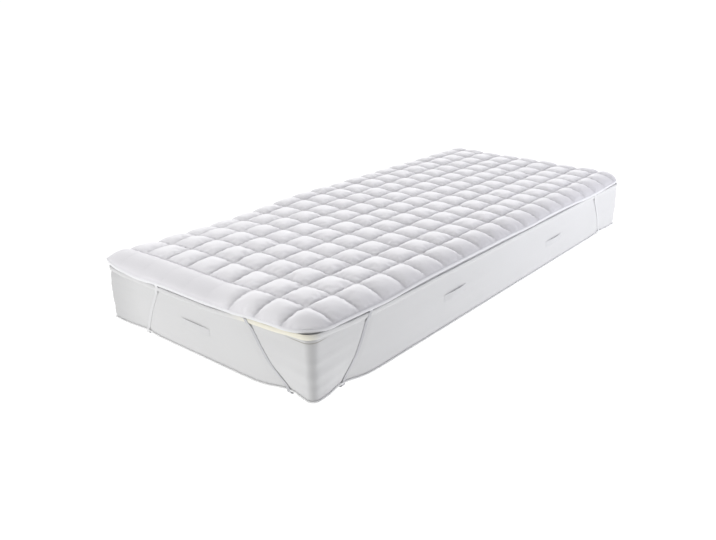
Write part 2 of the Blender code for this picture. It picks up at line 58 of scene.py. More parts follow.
# %% Sizes of the mattress and the topper
HALF_WIDTH = 0.45
HALF_LENGTH = 1.00
MATTRESS_HEIGHT = 0.238
LOWER_SEAM = 0.014                 # heights of the two piped seams round the border
UPPER_SEAM = 0.198
UPPER_PIPING = (0.0075, 0.0035)    # half its height, half its depth
LOWER_PIPING = (0.0025, 0.0025)
UPPER_PIPING_RISE = 0.009          # how much higher it runs round the front right corner
GAP = 0.0003                       # room between pieces that touch

SQUARE = 0.102                     # distance between seams
SQUARES_ACROSS = 9
SQUARES_ALONG = 20
LAST_SEAM_X = (SQUARES_ACROSS / 2 - 1) * SQUARE
LAST_SEAM_Y = (SQUARES_ALONG / 2 - 1) * SQUARE
BORDER_REACH_X = 0.099             # how far the outer row reaches out from the last seam
BORDER_REACH_Y = 0.094
SEAM_HEIGHT = 0.246                # top of the pad where it is sewn through

print("squares:", SQUARES_ACROSS * SQUARES_ALONG, "of", SQUARE * 100, "cm")

# %% [markdown]
# ## Helpers for shapes
#
# Nearly every piece here is a row of sections: a binding is a folded strip swept round
# the hem, a strap is a flat band swept down the border.  `sweep` makes a mesh from such
# rows.  `unevenness` gives smooth, repeatable noise, because nothing made of cloth and
# foam is quite straight, and `smooth_step` fades a change in or out over a distance.

# %% Meshes from rows of points
def make_object(name, points, faces, smooth_angle=50):
    """An object from points and faces, smooth shaded but for its sharpest edges."""
    mesh = bpy.data.meshes.new(name)
    mesh.from_pydata([tuple(p) for p in points], [], [tuple(f) for f in faces])
    mesh.validate()
    mesh.shade_smooth()
    mesh.set_sharp_from_angle(angle=math.radians(smooth_angle))
    obj = bpy.data.objects.new(name, mesh)
    bpy.context.scene.collection.objects.link(obj)
    print(f"{name}: {len(mesh.polygons)} faces")
    return obj


def row_faces(row_count, column_count, ring_rows=False, ring_columns=True, first=0):
    """Quads between neighbouring rows of points, which may close into rings."""
    row = np.arange(row_count if ring_rows else row_count - 1)
    column = np.arange(column_count if ring_columns else column_count - 1)
    row, column = (part.ravel() for part in np.meshgrid(row, column, indexing="ij"))
    here, there = row * column_count, (row + 1) % row_count * column_count
    next_column = (column + 1) % column_count
    quads = [here + column, here + next_column, there + next_column, there + column]
    return (np.stack(quads, axis=1) + first).tolist()


def sweep(name, sections, closed=False, smooth_angle=50):
    """A solid through sections, each a closed loop of the same number of points."""
    sections = np.asarray(sections, float)
    count, around = sections.shape[:2]
    faces = row_faces(count, around, ring_rows=closed)
    if not closed:
        faces.append(list(range(around))[::-1])
        faces.append(list(range((count - 1) * around, count * around)))
    return make_object(name, sections.reshape(-1, 3), faces, smooth_angle)


def unevenness(points, wavelength, seed=0.0):
    """Smooth noise from about -1 to 1 at each point."""
    scaled = np.asarray(points, float) / np.asarray(wavelength, float)
    offset = 17.3 * seed
    return np.array([noise.noise(Vector((x + offset, y - offset, z + offset))) for x, y, z in scaled])


def smooth_step(value, start, end):
    """Rises smoothly from 0 at start to 1 at end."""
    t = np.clip((np.asarray(value, float) - start) / (end - start), 0, 1)
    return t * t * (3 - 2 * t)


print("smooth_step a quarter of the way:", float(smooth_step(0.25, 0, 1)))

# %% [markdown]
# ## The foam underneath
#
# The mattress isn't a perfect block.  Its foam has gone soft along the front edge, the
# straps squeeze the lower edge in where they cross it, and at the front right corner
# the tight strap lifts the edge off the floor.  The same rules bend the mattress
# and whatever lies on it, so the pieces keep together.

# %% Sag, bulge, lift and squeeze
# from where to where a hollow or the bulge grows to its depth, and a hollow ends again
FRONT_HOLLOW, FRONT_HOLLOW_END = (0.26, 0.02), (-0.36, -0.47)
LEFT_HOLLOW, LEFT_HOLLOW_END = (-0.15, -0.50), (-0.80, -1.00)
BULGE_ALONG_X, BULGE_ALONG_Y = (-0.25, -0.44), (-0.50, -0.88)
SAG_REACH = 0.27                   # how far a hollow reaches in from its edge
SAG_STARTS_AT = 0.06               # height from which the border takes part in it
FRONT_SAG = 0.0165
LEFT_SAG = 0.015
BULGE = 0.009
LIFT = 0.010
LIFT_REACH = 0.26
LIFT_HEIGHT = 0.10                 # height at which the border no longer takes part in it
BITE_HEIGHT = 0.075                # height over which a strap pulls the border in

# distances from the mattress's corner, measured along its short and its long side
STRAPS = [
    # name, side of x, side of y, short hem, short foot, long hem, long foot, bite, width
    ("front_right", 1, -1, 0.249, 0.108, 0.235, 0.136, 0.020, 0.060),
    ("front_left", -1, -1, 0.269, 0.171, 0.290, 0.190, 0.008, 0.045),
    ("back_right", 1, 1, 0.260, 0.160, 0.280, 0.168, 0.008, 0.045),
    ("back_left", -1, 1, 0.270, 0.170, 0.290, 0.180, 0.008, 0.045),
]


def sag(x, y):
    """How far the upper edge has sunk: all along the front but its right end, and on the left."""
    front = FRONT_SAG * smooth_step(x, *FRONT_HOLLOW) * smooth_step(y + HALF_LENGTH, SAG_REACH, 0)
    front = front * (1 - 0.50 * smooth_step(x, *FRONT_HOLLOW_END))
    left = LEFT_SAG * smooth_step(y, *LEFT_HOLLOW) * smooth_step(x + HALF_WIDTH, SAG_REACH, 0)
    return front + left * (1 - smooth_step(y, *LEFT_HOLLOW_END))


def bulge(x, y):
    """How far the foam bulges out to the left, near the front left corner."""
    return BULGE * smooth_step(x, *BULGE_ALONG_X) * smooth_step(y, *BULGE_ALONG_Y)


def lift(x, y, z):
    """How far the tight strap has lifted the front right corner."""
    from_corner = np.hypot(HALF_WIDTH - x, HALF_LENGTH + y) / LIFT_REACH
    return LIFT * np.clip(1 - from_corner ** 2, 0, 1) ** 2 * np.clip(1 - z / LIFT_HEIGHT, 0, 1)


def strap_bite(x, y, z):
    """How far the straps pull the border in at this place."""
    pull = 0.0
    for _, side_x, side_y, _, short_foot, _, long_foot, bite, spread in STRAPS:
        to_long = HALF_WIDTH - side_x * x
        to_short = HALF_LENGTH - side_y * y
        near_short = np.exp(-(((to_long - short_foot) ** 2 + to_short ** 2) / spread ** 2))
        near_long = np.exp(-(((to_short - long_foot) ** 2 + to_long ** 2) / spread ** 2))
        pull = pull + bite * (near_short + near_long)
    return pull * np.exp(-((z / BITE_HEIGHT) ** 2))


print("front edge sinks by up to", round(float(sag(-0.1, -1.0)) * 1000), "mm")

# %% [markdown]
# ## The mattress
#
# A maker sews the mattress cover from a top, a base and one long border strip, with a
# piped seam above and below.  It could be a cube with bevels, but then the border would
# look like painted board.  Rings of points are used instead, from the base up, because
# each ring can be drawn in, rounded and creased as the cover is there.  At each seam
# the border is drawn in a little, and each strap lies in a shallow trough.

# %% The outline of a ring
SIDES = [(0, -1), (1, 0), (0, 1), (-1, 0)]
SIDE_POINTS = {0: 75, 1: 165}      # on a short and on a long side
CORNER_POINTS = 14


def outline(inset, radius):
    """The mattress's outline, anticlockwise, with the outward direction at each point."""
    positions, outwards = [], []
    for out_x, out_y in SIDES:
        outward = np.array([out_x, out_y], float)
        along = np.array([-out_y, out_x], float)
        half_out, half_along = (HALF_WIDTH, HALF_LENGTH) if out_x else (HALF_LENGTH, HALF_WIDTH)
        reach = half_out - inset
        straight = half_along - inset - radius
        for place in np.linspace(-straight, straight, SIDE_POINTS[abs(out_x)]):
            positions.append(outward * reach + along * place)
            outwards.append(outward)
        corner = outward * (reach - radius) + along * straight
        for angle in np.linspace(0, math.pi / 2, CORNER_POINTS + 2)[1:-1]:
            direction = outward * math.cos(angle) + along * math.sin(angle)
            positions.append(corner + direction * radius)
            outwards.append(direction)
    return np.array(positions), np.array(outwards)


print("points in a ring:", len(outline(0, 0.03)[0]))

# %% Heights and insets of the rings
RING_TABLE = np.array([
    # height, inset, corner radius
    (0.000, 0.022, 0.022),
    (0.005, 0.008, 0.022),
    (0.014, 0.002, 0.022),
    (0.050, 0.001, 0.022),
    (0.105, 0.000, 0.022),
    (0.160, 0.001, 0.025),
    (0.198, 0.003, 0.032),
    (0.209, 0.007, 0.052),
    (0.220, 0.016, 0.070),
    (0.230, 0.032, 0.082),
    (0.238, 0.062, 0.085),
])
STEPS_BETWEEN_RINGS = [3, 3, 6, 7, 7, 6, 3, 3, 3, 3]
SEAM_TUCK = 0.0014                 # how far the border is drawn in at a piped seam
SEAM_TUCK_WIDTH = 0.0055


def finer(table, steps):
    """More rows between a table's rows, on a smooth curve through all of them."""
    rows = []
    last = len(table) - 1
    for k, count in enumerate(steps):
        before, start, end, after = (table[min(max(k + i, 0), last)] for i in (-1, 0, 1, 2))
        for t in np.arange(count) / count:
            rows.append(0.5 * (2 * start + (end - before) * t
                               + (2 * before - 5 * start + 4 * end - after) * t ** 2
                               + (3 * start - before - 3 * end + after) * t ** 3))
    return np.array(rows + [table[-1]])


ring_rows = finer(RING_TABLE, STEPS_BETWEEN_RINGS)
print("rings up the border:", len(ring_rows))


# %% How far each seam and strap is away
FAR = 9.0                          # metres, further than any distance here
STRAP_SIDE = 0.05                  # a strap marks the border this near to its own side


def seam_tuck(height):
    """How far the border is drawn in at its two piped seams."""
    return SEAM_TUCK * sum(np.exp(-(((height - seam) / SEAM_TUCK_WIDTH) ** 2))
                           for seam in (LOWER_SEAM, UPPER_SEAM))


def strap_distance(points):
    """Distance from each point on the border to the nearest strap's middle line."""
    nearest = np.full(len(points), FAR)
    for _, side_x, side_y, short_hem, short_foot, long_hem, long_foot, _, _ in STRAPS:
        to_long = HALF_WIDTH - side_x * points[:, 0]
        to_short = HALF_LENGTH - side_y * points[:, 1]
        for along, off, hem, foot in ((to_long, to_short, short_hem, short_foot),
                                      (to_short, to_long, long_hem, long_foot)):
            run = np.array([foot - hem, LOWER_SEAM - UPPER_SEAM])
            across = np.array([-run[1], run[0]]) / np.hypot(*run)
            gap = abs((along - hem) * across[0] + (points[:, 2] - UPPER_SEAM) * across[1])
            nearest = np.minimum(nearest, np.where(off < STRAP_SIDE, gap, FAR))
    return nearest


print("tuck at a seam:", round(float(seam_tuck(UPPER_SEAM)) * 1000, 2), "mm")

# %% Creases and strap troughs in the border
# soft waves, broad creases and fine ones: how high, and how long each way
WAVES = (0.0009, (0.11, 0.11, 0.16))
CREASES = (0.0019, (0.22, 0.22, 0.024))
FINE_CREASES = (0.0008, (0.30, 0.30, 0.013))
CORNER_REACH = 0.16                # over which the creases fade from a corner
FINE_EVERYWHERE = 0.0004           # height that the fine ones keep away from the corners
RELIEF_FROM, RELIEF_TO = (0.004, 0.03), (0.205, 0.235)    # heights between which it is there
TROUGH_DEPTH, TROUGH_WIDTH = 0.0018, 0.009
RIM_HEIGHT, RIM_DISTANCE, RIM_WIDTH = 0.0008, 0.017, 0.008    # the cloth pushed up beside it
CALM_WIDTH = 0.014                 # the taut cloth round a strap has no creases


def border_relief(points, height):
    """How far the cover stands in or out: soft waves, corner creases, troughs."""
    taper = smooth_step(height, *RELIEF_FROM) * (1 - smooth_step(height, *RELIEF_TO))
    x, y = abs(points[:, 0]), abs(points[:, 1])
    near_corner = np.exp(-np.minimum(HALF_WIDTH - x + abs(HALF_LENGTH - y), 1.0) / CORNER_REACH)
    waves = WAVES[0] * unevenness(points, WAVES[1], 1)
    creases = CREASES[0] * near_corner * unevenness(points, CREASES[1], 2)
    fine_height = FINE_EVERYWHERE + FINE_CREASES[0] * near_corner
    creases += fine_height * unevenness(points, FINE_CREASES[1], 3)
    gap = strap_distance(points)
    trough = RIM_HEIGHT * np.exp(-((gap - RIM_DISTANCE) / RIM_WIDTH) ** 2)
    trough = trough - TROUGH_DEPTH * np.exp(-((gap / TROUGH_WIDTH) ** 2))
    calm = 1 - np.exp(-((gap / CALM_WIDTH) ** 2))
    return taper * ((waves + creases) * calm + trough)


def mattress_ring(height, inset, radius, relief=True):
    """One ring round the mattress, as points in space and outward directions."""
    flat, outwards = outline(inset, radius)
    flat = flat - outwards * (strap_bite(flat[:, 0], flat[:, 1], height) + seam_tuck(height))[:, None]
    flat[:, 0] -= bulge(flat[:, 0], flat[:, 1])
    share = smooth_step(height, SAG_STARTS_AT, UPPER_SEAM)
    z = height - share * sag(flat[:, 0], flat[:, 1]) + lift(flat[:, 0], flat[:, 1], height)
    points = np.column_stack([flat, z])
    outwards = np.column_stack([outwards, np.zeros(len(outwards))])
    if relief:
        points = points + outwards * border_relief(points, height)[:, None]
    return points, outwards


half_way = (LOWER_SEAM + UPPER_SEAM) / 2
relief_there = border_relief(mattress_ring(half_way, 0, 0.022, relief=False)[0], half_way)
print("relief half way up:", round(float(np.ptp(relief_there)) * 1000, 2), "mm")

# %% The mattress itself
base_rings = [(0.0, inset, RING_TABLE[0][2]) for inset in (0.200, 0.120, 0.080, 0.045)]
top_rings = [(MATTRESS_HEIGHT, inset, RING_TABLE[-1][2]) for inset in (0.090, 0.150, 0.300)]
mattress_rings = base_rings + [tuple(row) for row in ring_rows] + top_rings
mattress = sweep("mattress_body", [mattress_ring(*ring)[0] for ring in mattress_rings])
mattress_tree = BVHTree.FromObject(mattress, bpy.context.evaluated_depsgraph_get())


# %% [markdown]
# ## Piping
#
# Piping is a cord wrapped in cloth and caught in a seam.  Here the upper one is a broad
# soft roll in the border's own colour, and the lower one a thin cord, painted near white
# as painted light against the shade it lies in under the border.  A curve with a bevel
# would do for the cord, but a swept section can be taller than it is deep, sit in the
# seam's tuck, and vary in thickness as a hand-fed roll does.  Round the front right
# corner the roll has crept up its seam.

# %% Two lines of piping
UP = np.array([0.0, 0.0, 1.0])
PIPING_SIDES = 20
RISE_REACHES = (0.22, 0.14)        # distance from the corner at which the rise begins
RISE_SHARES = (1.0, 0.4)           # and share of it that begins there
ROLL_WAVE = 0.0007                 # how far the seam wanders up and down
ROLL_ROUNDNESS = 0.8               # below 1, so that its section is fuller than an oval


def make_piping(name, height, size, corner_rise):
    """A roll of cloth round the mattress at one seam, which rises at the front right corner."""
    half_height, half_depth = size
    seam = np.array([row for row in RING_TABLE if row[0] == height][0])
    points, outwards = mattress_ring(*seam, relief=False)
    outwards = np.column_stack([outwards[:, :2], np.zeros(len(outwards))])
    thick = 1 + 0.07 * unevenness(points, 0.035, 4) + 0.04 * unevenness(points, 0.012, 7)
    points[:, 2] += ROLL_WAVE * unevenness(points, 0.05, 5)
    from_corner = np.hypot(HALF_WIDTH - points[:, 0], HALF_LENGTH + points[:, 1])
    for reach, share in zip(RISE_REACHES, RISE_SHARES):
        points[:, 2] += share * corner_rise * smooth_step(from_corner, reach, 0)
    centres = points + outwards * (SEAM_TUCK + half_depth * 0.9)
    sections = []
    for angle in np.linspace(0, 2 * math.pi, PIPING_SIDES, endpoint=False):
        out = outwards * (half_depth * math.cos(angle) * thick)[:, None]
        rise = half_height * abs(math.sin(angle)) ** ROLL_ROUNDNESS * math.copysign(1, math.sin(angle))
        sections.append(centres + out + UP * rise)
    return sweep(name, np.stack(sections, axis=1), closed=True)


piping_upper = make_piping("piping_upper_roll", UPPER_SEAM, UPPER_PIPING, UPPER_PIPING_RISE)
piping_lower = make_piping("piping_lower_cord", LOWER_SEAM, LOWER_PIPING, 0.0)

# %% [markdown]
# ## The quilted pad
#
# The pad is two cloths with loose fibre between them, sewn through in a grid.  Between
# the seams the upper cloth swells, and because more cloth is caught in each square than
# fits flat, it puckers along the seams.  Modelling the puckers by hand gives the same
# square 180 times.  Instead the upper cloth is simulated: a flat sheet is pinned along
# the seams, given a few per cent more cloth than the grid has room for, and blown up
# gently from below.  The result is then laid over the mattress.

# %% The flat sheet
STEPS_PER_SQUARE = 20
PUFF_HEIGHT = 0.0152               # rise of a square's middle over its seams
PUFF_SPREAD = 0.12                 # how unevenly the squares are filled

columns = SQUARES_ACROSS * STEPS_PER_SQUARE + 1
rows = SQUARES_ALONG * STEPS_PER_SQUARE + 1
line_u = np.linspace(-0.5, 0.5, columns) * SQUARES_ACROSS * SQUARE
line_v = np.linspace(-0.5, 0.5, rows) * SQUARES_ALONG * SQUARE
flat_v, flat_u = (axis.ravel() for axis in np.meshgrid(line_v, line_u, indexing="ij"))

column_index = np.tile(np.arange(columns), rows)
row_index = np.repeat(np.arange(rows), columns)
on_seam = (column_index % STEPS_PER_SQUARE == 0) | (row_index % STEPS_PER_SQUARE == 0)

rng = np.random.default_rng(23)
fill = 1 + PUFF_SPREAD * rng.uniform(-1, 1, (SQUARES_ALONG, SQUARES_ACROSS))
square_of = (
    np.minimum(row_index // STEPS_PER_SQUARE, SQUARES_ALONG - 1),
    np.minimum(column_index // STEPS_PER_SQUARE, SQUARES_ACROSS - 1),
)
print("points in the sheet:", len(flat_u), "of which on seams:", int(on_seam.sum()))


# %% A plain puff, as the simulation's start
PUFF_FLATNESS = 2.1                # 2 for a parabola from seam to seam, more for a flatter top
PUFF_FULLNESS = 0.68               # below 1, so that the puff rises steeply from its seams


def plain_puff():
    """Rise of a smooth cushion in each square, from 0 at the seams to 1 in the middle."""
    across = np.abs(2 * ((column_index % STEPS_PER_SQUARE) / STEPS_PER_SQUARE) - 1)
    along = np.abs(2 * ((row_index % STEPS_PER_SQUARE) / STEPS_PER_SQUARE) - 1)
    return ((1 - across ** PUFF_FLATNESS) * (1 - along ** PUFF_FLATNESS)) ** PUFF_FULLNESS


print("a plain puff fills", round(float(plain_puff().mean()) * 100), "% of its square's box")

# %% Blow up the sheet between its seams
EXTRA_CLOTH = 0.035                # share of cloth beyond what fits flat in a square
AIR_PRESSURE = 5.0
SIMULATED_FRAMES = 18
START_SHARE = 0.55                 # share of the puffs' height that the sheet starts with
SHAKE = 0.0004                     # how far its points are shaken, so that it doesn't swell evenly


def swell_between_seams():
    """Cloth simulation of the upper cloth, pinned along the seams.  Returns its points."""
    points = np.column_stack([flat_u, flat_v, plain_puff() * PUFF_HEIGHT * START_SHARE])
    points[:, 2] += SHAKE * (~on_seam) * rng.uniform(-1, 1, len(points))
    faces = row_faces(rows, columns, ring_columns=False)
    sheet = make_object("upper_cloth_sheet", points, faces)
    seams = sheet.vertex_groups.new(name="seams")
    seams.add([int(k) for k in np.flatnonzero(on_seam)], 1.0, "REPLACE")
    cloth = sheet.modifiers.new("cloth", "CLOTH")
    settings = cloth.settings
    settings.quality = 4
    settings.mass = 0.15
    settings.tension_stiffness = 12
    settings.compression_stiffness = 6
    settings.shear_stiffness = 3
    settings.bending_stiffness = 0.3
    settings.air_damping = 2
    settings.effector_weights.gravity = 0
    settings.vertex_group_mass = "seams"
    settings.shrink_min = -EXTRA_CLOTH
    settings.use_pressure = True
    settings.uniform_pressure_force = AIR_PRESSURE
    cloth.collision_settings.use_collision = False
    scene = bpy.context.scene
    cloth.point_cache.frame_end = SIMULATED_FRAMES
    for frame_number in range(1, SIMULATED_FRAMES + 1):
        scene.frame_set(frame_number)
    depsgraph = bpy.context.evaluated_depsgraph_get()
    result = np.empty(points.size, np.float32)
    sheet.evaluated_get(depsgraph).data.vertices.foreach_get("co", result)
    scene.frame_set(1)
    bpy.data.objects.remove(sheet, do_unlink=True)
    return result.reshape(-1, 3).astype(float)


swollen = swell_between_seams()
print("highest puff before trimming:", round(float(swollen[:, 2].max()) * 1000, 1), "mm")

# %% Trim the puffs to the height that the filling gives them
at_middles = slice(STEPS_PER_SQUARE // 2, None, STEPS_PER_SQUARE)
typical = float(np.median(swollen[:, 2].reshape(rows, columns)[at_middles, at_middles]))
puff_rise = np.clip(swollen[:, 2], 0, None) * PUFF_HEIGHT / typical * fill[square_of]
puff_rise = np.where(on_seam, 0.0, puff_rise)

# along the front, the seams across the border squares have been pulled almost flat
PULLED_FLAT = (0.19, 0.05)         # from where along x, and where it is complete
PULLED_SHARE = 0.92
ROLL_SHARE = 0.9                   # height of the smooth roll that is left, to that of a puff
plain_roll = plain_puff().reshape(rows, columns)[:, STEPS_PER_SQUARE // 2]
roll_rise = np.repeat(plain_roll, columns) * PUFF_HEIGHT * ROLL_SHARE
pulled_flat = PULLED_SHARE * smooth_step(flat_u, *PULLED_FLAT) * (row_index < STEPS_PER_SQUARE)
puff_rise = puff_rise + (roll_rise - puff_rise) * pulled_flat
print("middle of a typical square was", round(typical * 1000, 1), "mm high")

# %% [markdown]
# ### Laying it over the mattress
#
# A point of the flat pad goes straight down on to the bed, but the outer row of squares
# rolls over the edge, and the four corner squares are drawn in towards quarter discs,
# as cloth that is eased round a corner.  A draping simulation would lose the place of
# each seam, so one function does this for any point, and the hem uses it too.

# %% From flat cloth to the bed
CORNER_ROUNDNESS = np.array([[0.55, 0.9], [1.0, 0.9]])    # left and right, each front and back
BORDER_DROP = 0.0180               # how much lower the hem lies than the seams
BORDER_DROP_POWER = 2.2
BORDER_TILT = math.radians(58)     # how far the border squares have turned outwards at the hem
HEM_ROUND = 0.030                  # rise that a border square may have in the middle
HEM_ROUND_POWER = 0.55
SEAM_SUNK = 0.0022                 # how deep a seam is pulled in below the puffs beside it
SEAM_SUNK_RISE = 0.0012            # rise over which that fades out

# places where the hem hangs lower, mostly where a strap pulls it down
HEM_DROOPS = [
    # outward x, outward y, place along the side, depth, half width
    (0, -1, -0.270, 0.0065, 0.075),
    (0, -1, 0.200, 0.0070, 0.090),
    (1, 0, -0.700, 0.0070, 0.120),
    (1, 0, 0.140, 0.0040, 0.100),
    (1, 0, 0.700, 0.0090, 0.200),
    (0, 1, -0.180, 0.0060, 0.090),
    (0, 1, 0.190, 0.0070, 0.090),
    (-1, 0, -0.700, 0.0065, 0.110),
    (-1, 0, 0.050, 0.0035, 0.120),
    (-1, 0, 0.710, 0.0070, 0.120),
]


def droop(x, y, outward):
    """How much lower the hem hangs at this place."""
    lower = 0.0
    for out_x, out_y, middle, depth, half_width in HEM_DROOPS:
        along = x if out_x == 0 else y
        facing = np.clip(outward[..., 0] * out_x + outward[..., 1] * out_y, 0, 1)
        lower = lower + facing * depth * np.exp(-(((along - middle) / half_width) ** 2))
    return lower


def plan_place(u, v):
    """Place seen from above, share of the way to the hem, and outward direction."""
    side_x, side_y = np.where(u > 0, 1, -1), np.where(v > 0, 1, -1)
    roundness = CORNER_ROUNDNESS[(side_x + 1) // 2, (side_y + 1) // 2]
    p = np.clip((np.abs(u) - LAST_SEAM_X) / SQUARE, 0, 1)
    q = np.clip((np.abs(v) - LAST_SEAM_Y) / SQUARE, 0, 1)
    disc_x, disc_y = np.sqrt(1 - q * q / 2), np.sqrt(1 - p * p / 2)
    x = np.minimum(np.abs(u), LAST_SEAM_X) + p * (1 + roundness * (disc_x - 1)) * BORDER_REACH_X
    y = np.minimum(np.abs(v), LAST_SEAM_Y) + q * (1 + roundness * (disc_y - 1)) * BORDER_REACH_Y
    outward = np.stack([side_x * p * disc_x, side_y * q * disc_y], axis=-1)
    share = np.linalg.norm(outward, axis=-1)
    outward = outward / np.maximum(share, 1e-9)[..., None]
    x, y = side_x * x, side_y * y
    return x - bulge(x, y), y, np.minimum(share, 1), outward


def lay_on_bed(u, v, rise):
    """Points of the upper cloth, that far above the line of the seams."""
    x, y, share, outward = plan_place(u, v)
    limit = np.maximum(HEM_ROUND * (1 - share) ** HEM_ROUND_POWER, 1e-6)
    rise = (np.maximum(rise, 1e-6) ** -4.0 + limit ** -4.0) ** -0.25
    tilt = BORDER_TILT * share ** 2
    across = rise * np.sin(tilt)
    drop = (BORDER_DROP + droop(x, y, outward)) * share ** BORDER_DROP_POWER
    z = SEAM_HEIGHT - sag(x, y) - drop + rise * np.cos(tilt)
    z = z - SEAM_SUNK * np.exp(-rise / SEAM_SUNK_RISE) * (1 - share ** 2)
    return np.stack([x + outward[..., 0] * across, y + outward[..., 1] * across, z], axis=-1)


upper_cloth = lay_on_bed(swollen[:, 0], swollen[:, 1], puff_rise)
print("topper is", np.round(np.ptp(upper_cloth, axis=0), 3), "m")

# %% [markdown]
# ### Hem and under side
#
# At the hem both cloths are pressed flat together, and the pad's under side goes back in
# over the mattress.  A Solidify modifier would give a shell, but the pad is one filled
# form.  So the hem's points are taken in order round the sheet, three rows make the
# pressed edge, and rows laid over the mattress close the pad.

# %% The hem in order round the sheet
EDGE_LENGTH = 0.0085
EDGE_HALF_THICKNESS = 0.0016
EDGE_LEAN = math.radians(20)       # the edge hangs down and leans outwards by this much

index = np.arange(rows * columns).reshape(rows, columns)
hem = np.concatenate([index[0, :-1], index[:-1, -1], index[-1, :0:-1], index[:0:-1, 0]])
hem_points = upper_cloth[hem]
hem_outward = plan_place(flat_u[hem], flat_v[hem])[3]
hem_outward = np.column_stack([hem_outward, np.zeros(len(hem))])
hem_length = float(np.linalg.norm(np.roll(hem_points, -1, axis=0) - hem_points, axis=1).sum())
print("hem is", round(hem_length, 3), "m round, in", len(hem), "points")


def edge_points(points, outward, along_edge, across_edge):
    """Points of the hem's section, measured from the upper side of the pressed edge."""
    down = outward * math.sin(EDGE_LEAN) - UP * math.cos(EDGE_LEAN)
    side = outward * math.cos(EDGE_LEAN) + UP * math.sin(EDGE_LEAN)
    return points + down * along_edge + side * (across_edge - EDGE_HALF_THICKNESS)


# %% The whole pad
UNDERSIDE = [
    # inset from the mattress's outline, room over the mattress
    (0.016, 0.0020), (0.032, 0.0020), (0.062, 0.0020), (0.150, 0.0026),
    (0.220, 0.0024), (0.300, 0.0012), (0.340, 0.0003),
]


def underside_ring(inset, room):
    """A row of the under side, that far over the mattress."""
    x = hem_points[:, 0] * (HALF_WIDTH - inset) / (LAST_SEAM_X + BORDER_REACH_X)
    y = hem_points[:, 1] * (HALF_LENGTH - inset) / (LAST_SEAM_Y + BORDER_REACH_Y)
    above, straight_down = 2 * MATTRESS_HEIGHT, Vector((0, 0, -1))
    tops = [mattress_tree.ray_cast(Vector((a, b, above)), straight_down)[0].z for a, b in zip(x, y)]
    return np.column_stack([x, y, np.array(tops) + room])


pad_rings = [edge_points(hem_points, hem_outward, along, across * EDGE_HALF_THICKNESS)
             for along, across in ((EDGE_LENGTH, 1), (EDGE_LENGTH, -1), (0.0, -1))]
pad_rings += [underside_ring(inset, room) for inset, room in UNDERSIDE]
pad_points = np.concatenate([upper_cloth] + pad_rings)
pad_faces = row_faces(rows, columns, ring_columns=False)
ring_start = rows * columns
hem_next = np.roll(hem, -1)
first_ring = ring_start + np.arange(len(hem))
pad_faces += np.stack([hem_next, hem, first_ring, np.roll(first_ring, -1)], axis=1).tolist()
pad_faces += [face[::-1] for face in row_faces(len(pad_rings), len(hem), first=ring_start)]
pad_faces.append((ring_start + (len(pad_rings) - 1) * len(hem) + np.arange(len(hem)))[::-1].tolist())
pad = make_object("quilted_topper", pad_points, pad_faces, smooth_angle=75)

# %% [markdown]
# ## The binding
#
# A strip of cloth is folded over the pressed edge and sewn down near its upper edge.
# A bevelled curve would make it a round cord.  A swept section can be a folded strip
# with a slit, in which the pad's edge sits.  It has a rounded fold and isn't dead
# straight, since it is fed in by hand.

# %% Folded strip round the hem
BINDING_CLOTH = 0.0010
BINDING_STARTS = 0.0015            # bare length of the pressed edge above the binding
BINDING_WAVE = 0.0005              # how far its fold wanders

inner = EDGE_HALF_THICKNESS + GAP
outer = inner + BINDING_CLOTH
fold = EDGE_LENGTH + GAP
bend = fold - outer * 0.6          # where the strip begins to turn round the edge
binding_section = [(BINDING_STARTS, outer), (BINDING_STARTS + 0.004, outer + 0.0002), (bend, outer)]
binding_section += [(bend + (outer + BINDING_CLOTH) * 0.8 * math.sin(a), outer * math.cos(a))
                    for a in np.linspace(0, math.pi, 9)[1:-1]]
binding_section += [(bend, -outer), (BINDING_STARTS, -outer), (BINDING_STARTS, -inner)]
binding_section += [(fold, -inner), (fold, inner), (BINDING_STARTS, inner)]
print("binding section:", len(binding_section), "points")

binding_wave = BINDING_WAVE * unevenness(hem_points, 0.03, 6)
binding_sections = []
for along, across in binding_section:
    shifted = along + binding_wave * (along > BINDING_STARTS)
    binding_sections.append(edge_points(hem_points, hem_outward, shifted[:, None], across))
binding = sweep("hem_binding", np.stack(binding_sections, axis=1), closed=True)

# %% [markdown]
# ## Thread
#
# Each stitch is a short raised dash that dips into the cloth at both ends.  A line drawn
# in the finish would be flat from the side.  Thousands of stitches are needed, so one
# helper writes them all into a single mesh.

# %% Stitches along a line
STITCH_LENGTH = 0.0034
STITCH_PITCH = 0.0048
STITCH_WIDTH = 0.0005


def along_line(line, pitch, closed=False):
    """Middles of the stitches along a line of points, and the line's direction there."""
    line = np.asarray(line, float)
    if closed:
        line = np.concatenate([line, line[:1]])
    steps = np.linalg.norm(np.diff(line, axis=0), axis=1)
    travelled = np.concatenate([[0], np.cumsum(steps)])
    count = max(1, int(travelled[-1] / pitch))
    places = (np.arange(count) + 0.5) * travelled[-1] / count
    middle = np.column_stack([np.interp(places, travelled, line[:, k]) for k in range(3)])
    ahead = np.column_stack([np.interp(places + 1e-3, travelled, line[:, k]) for k in range(3)])
    back = np.column_stack([np.interp(places - 1e-3, travelled, line[:, k]) for k in range(3)])
    return middle, (ahead - back) / np.linalg.norm(ahead - back, axis=1)[:, None]


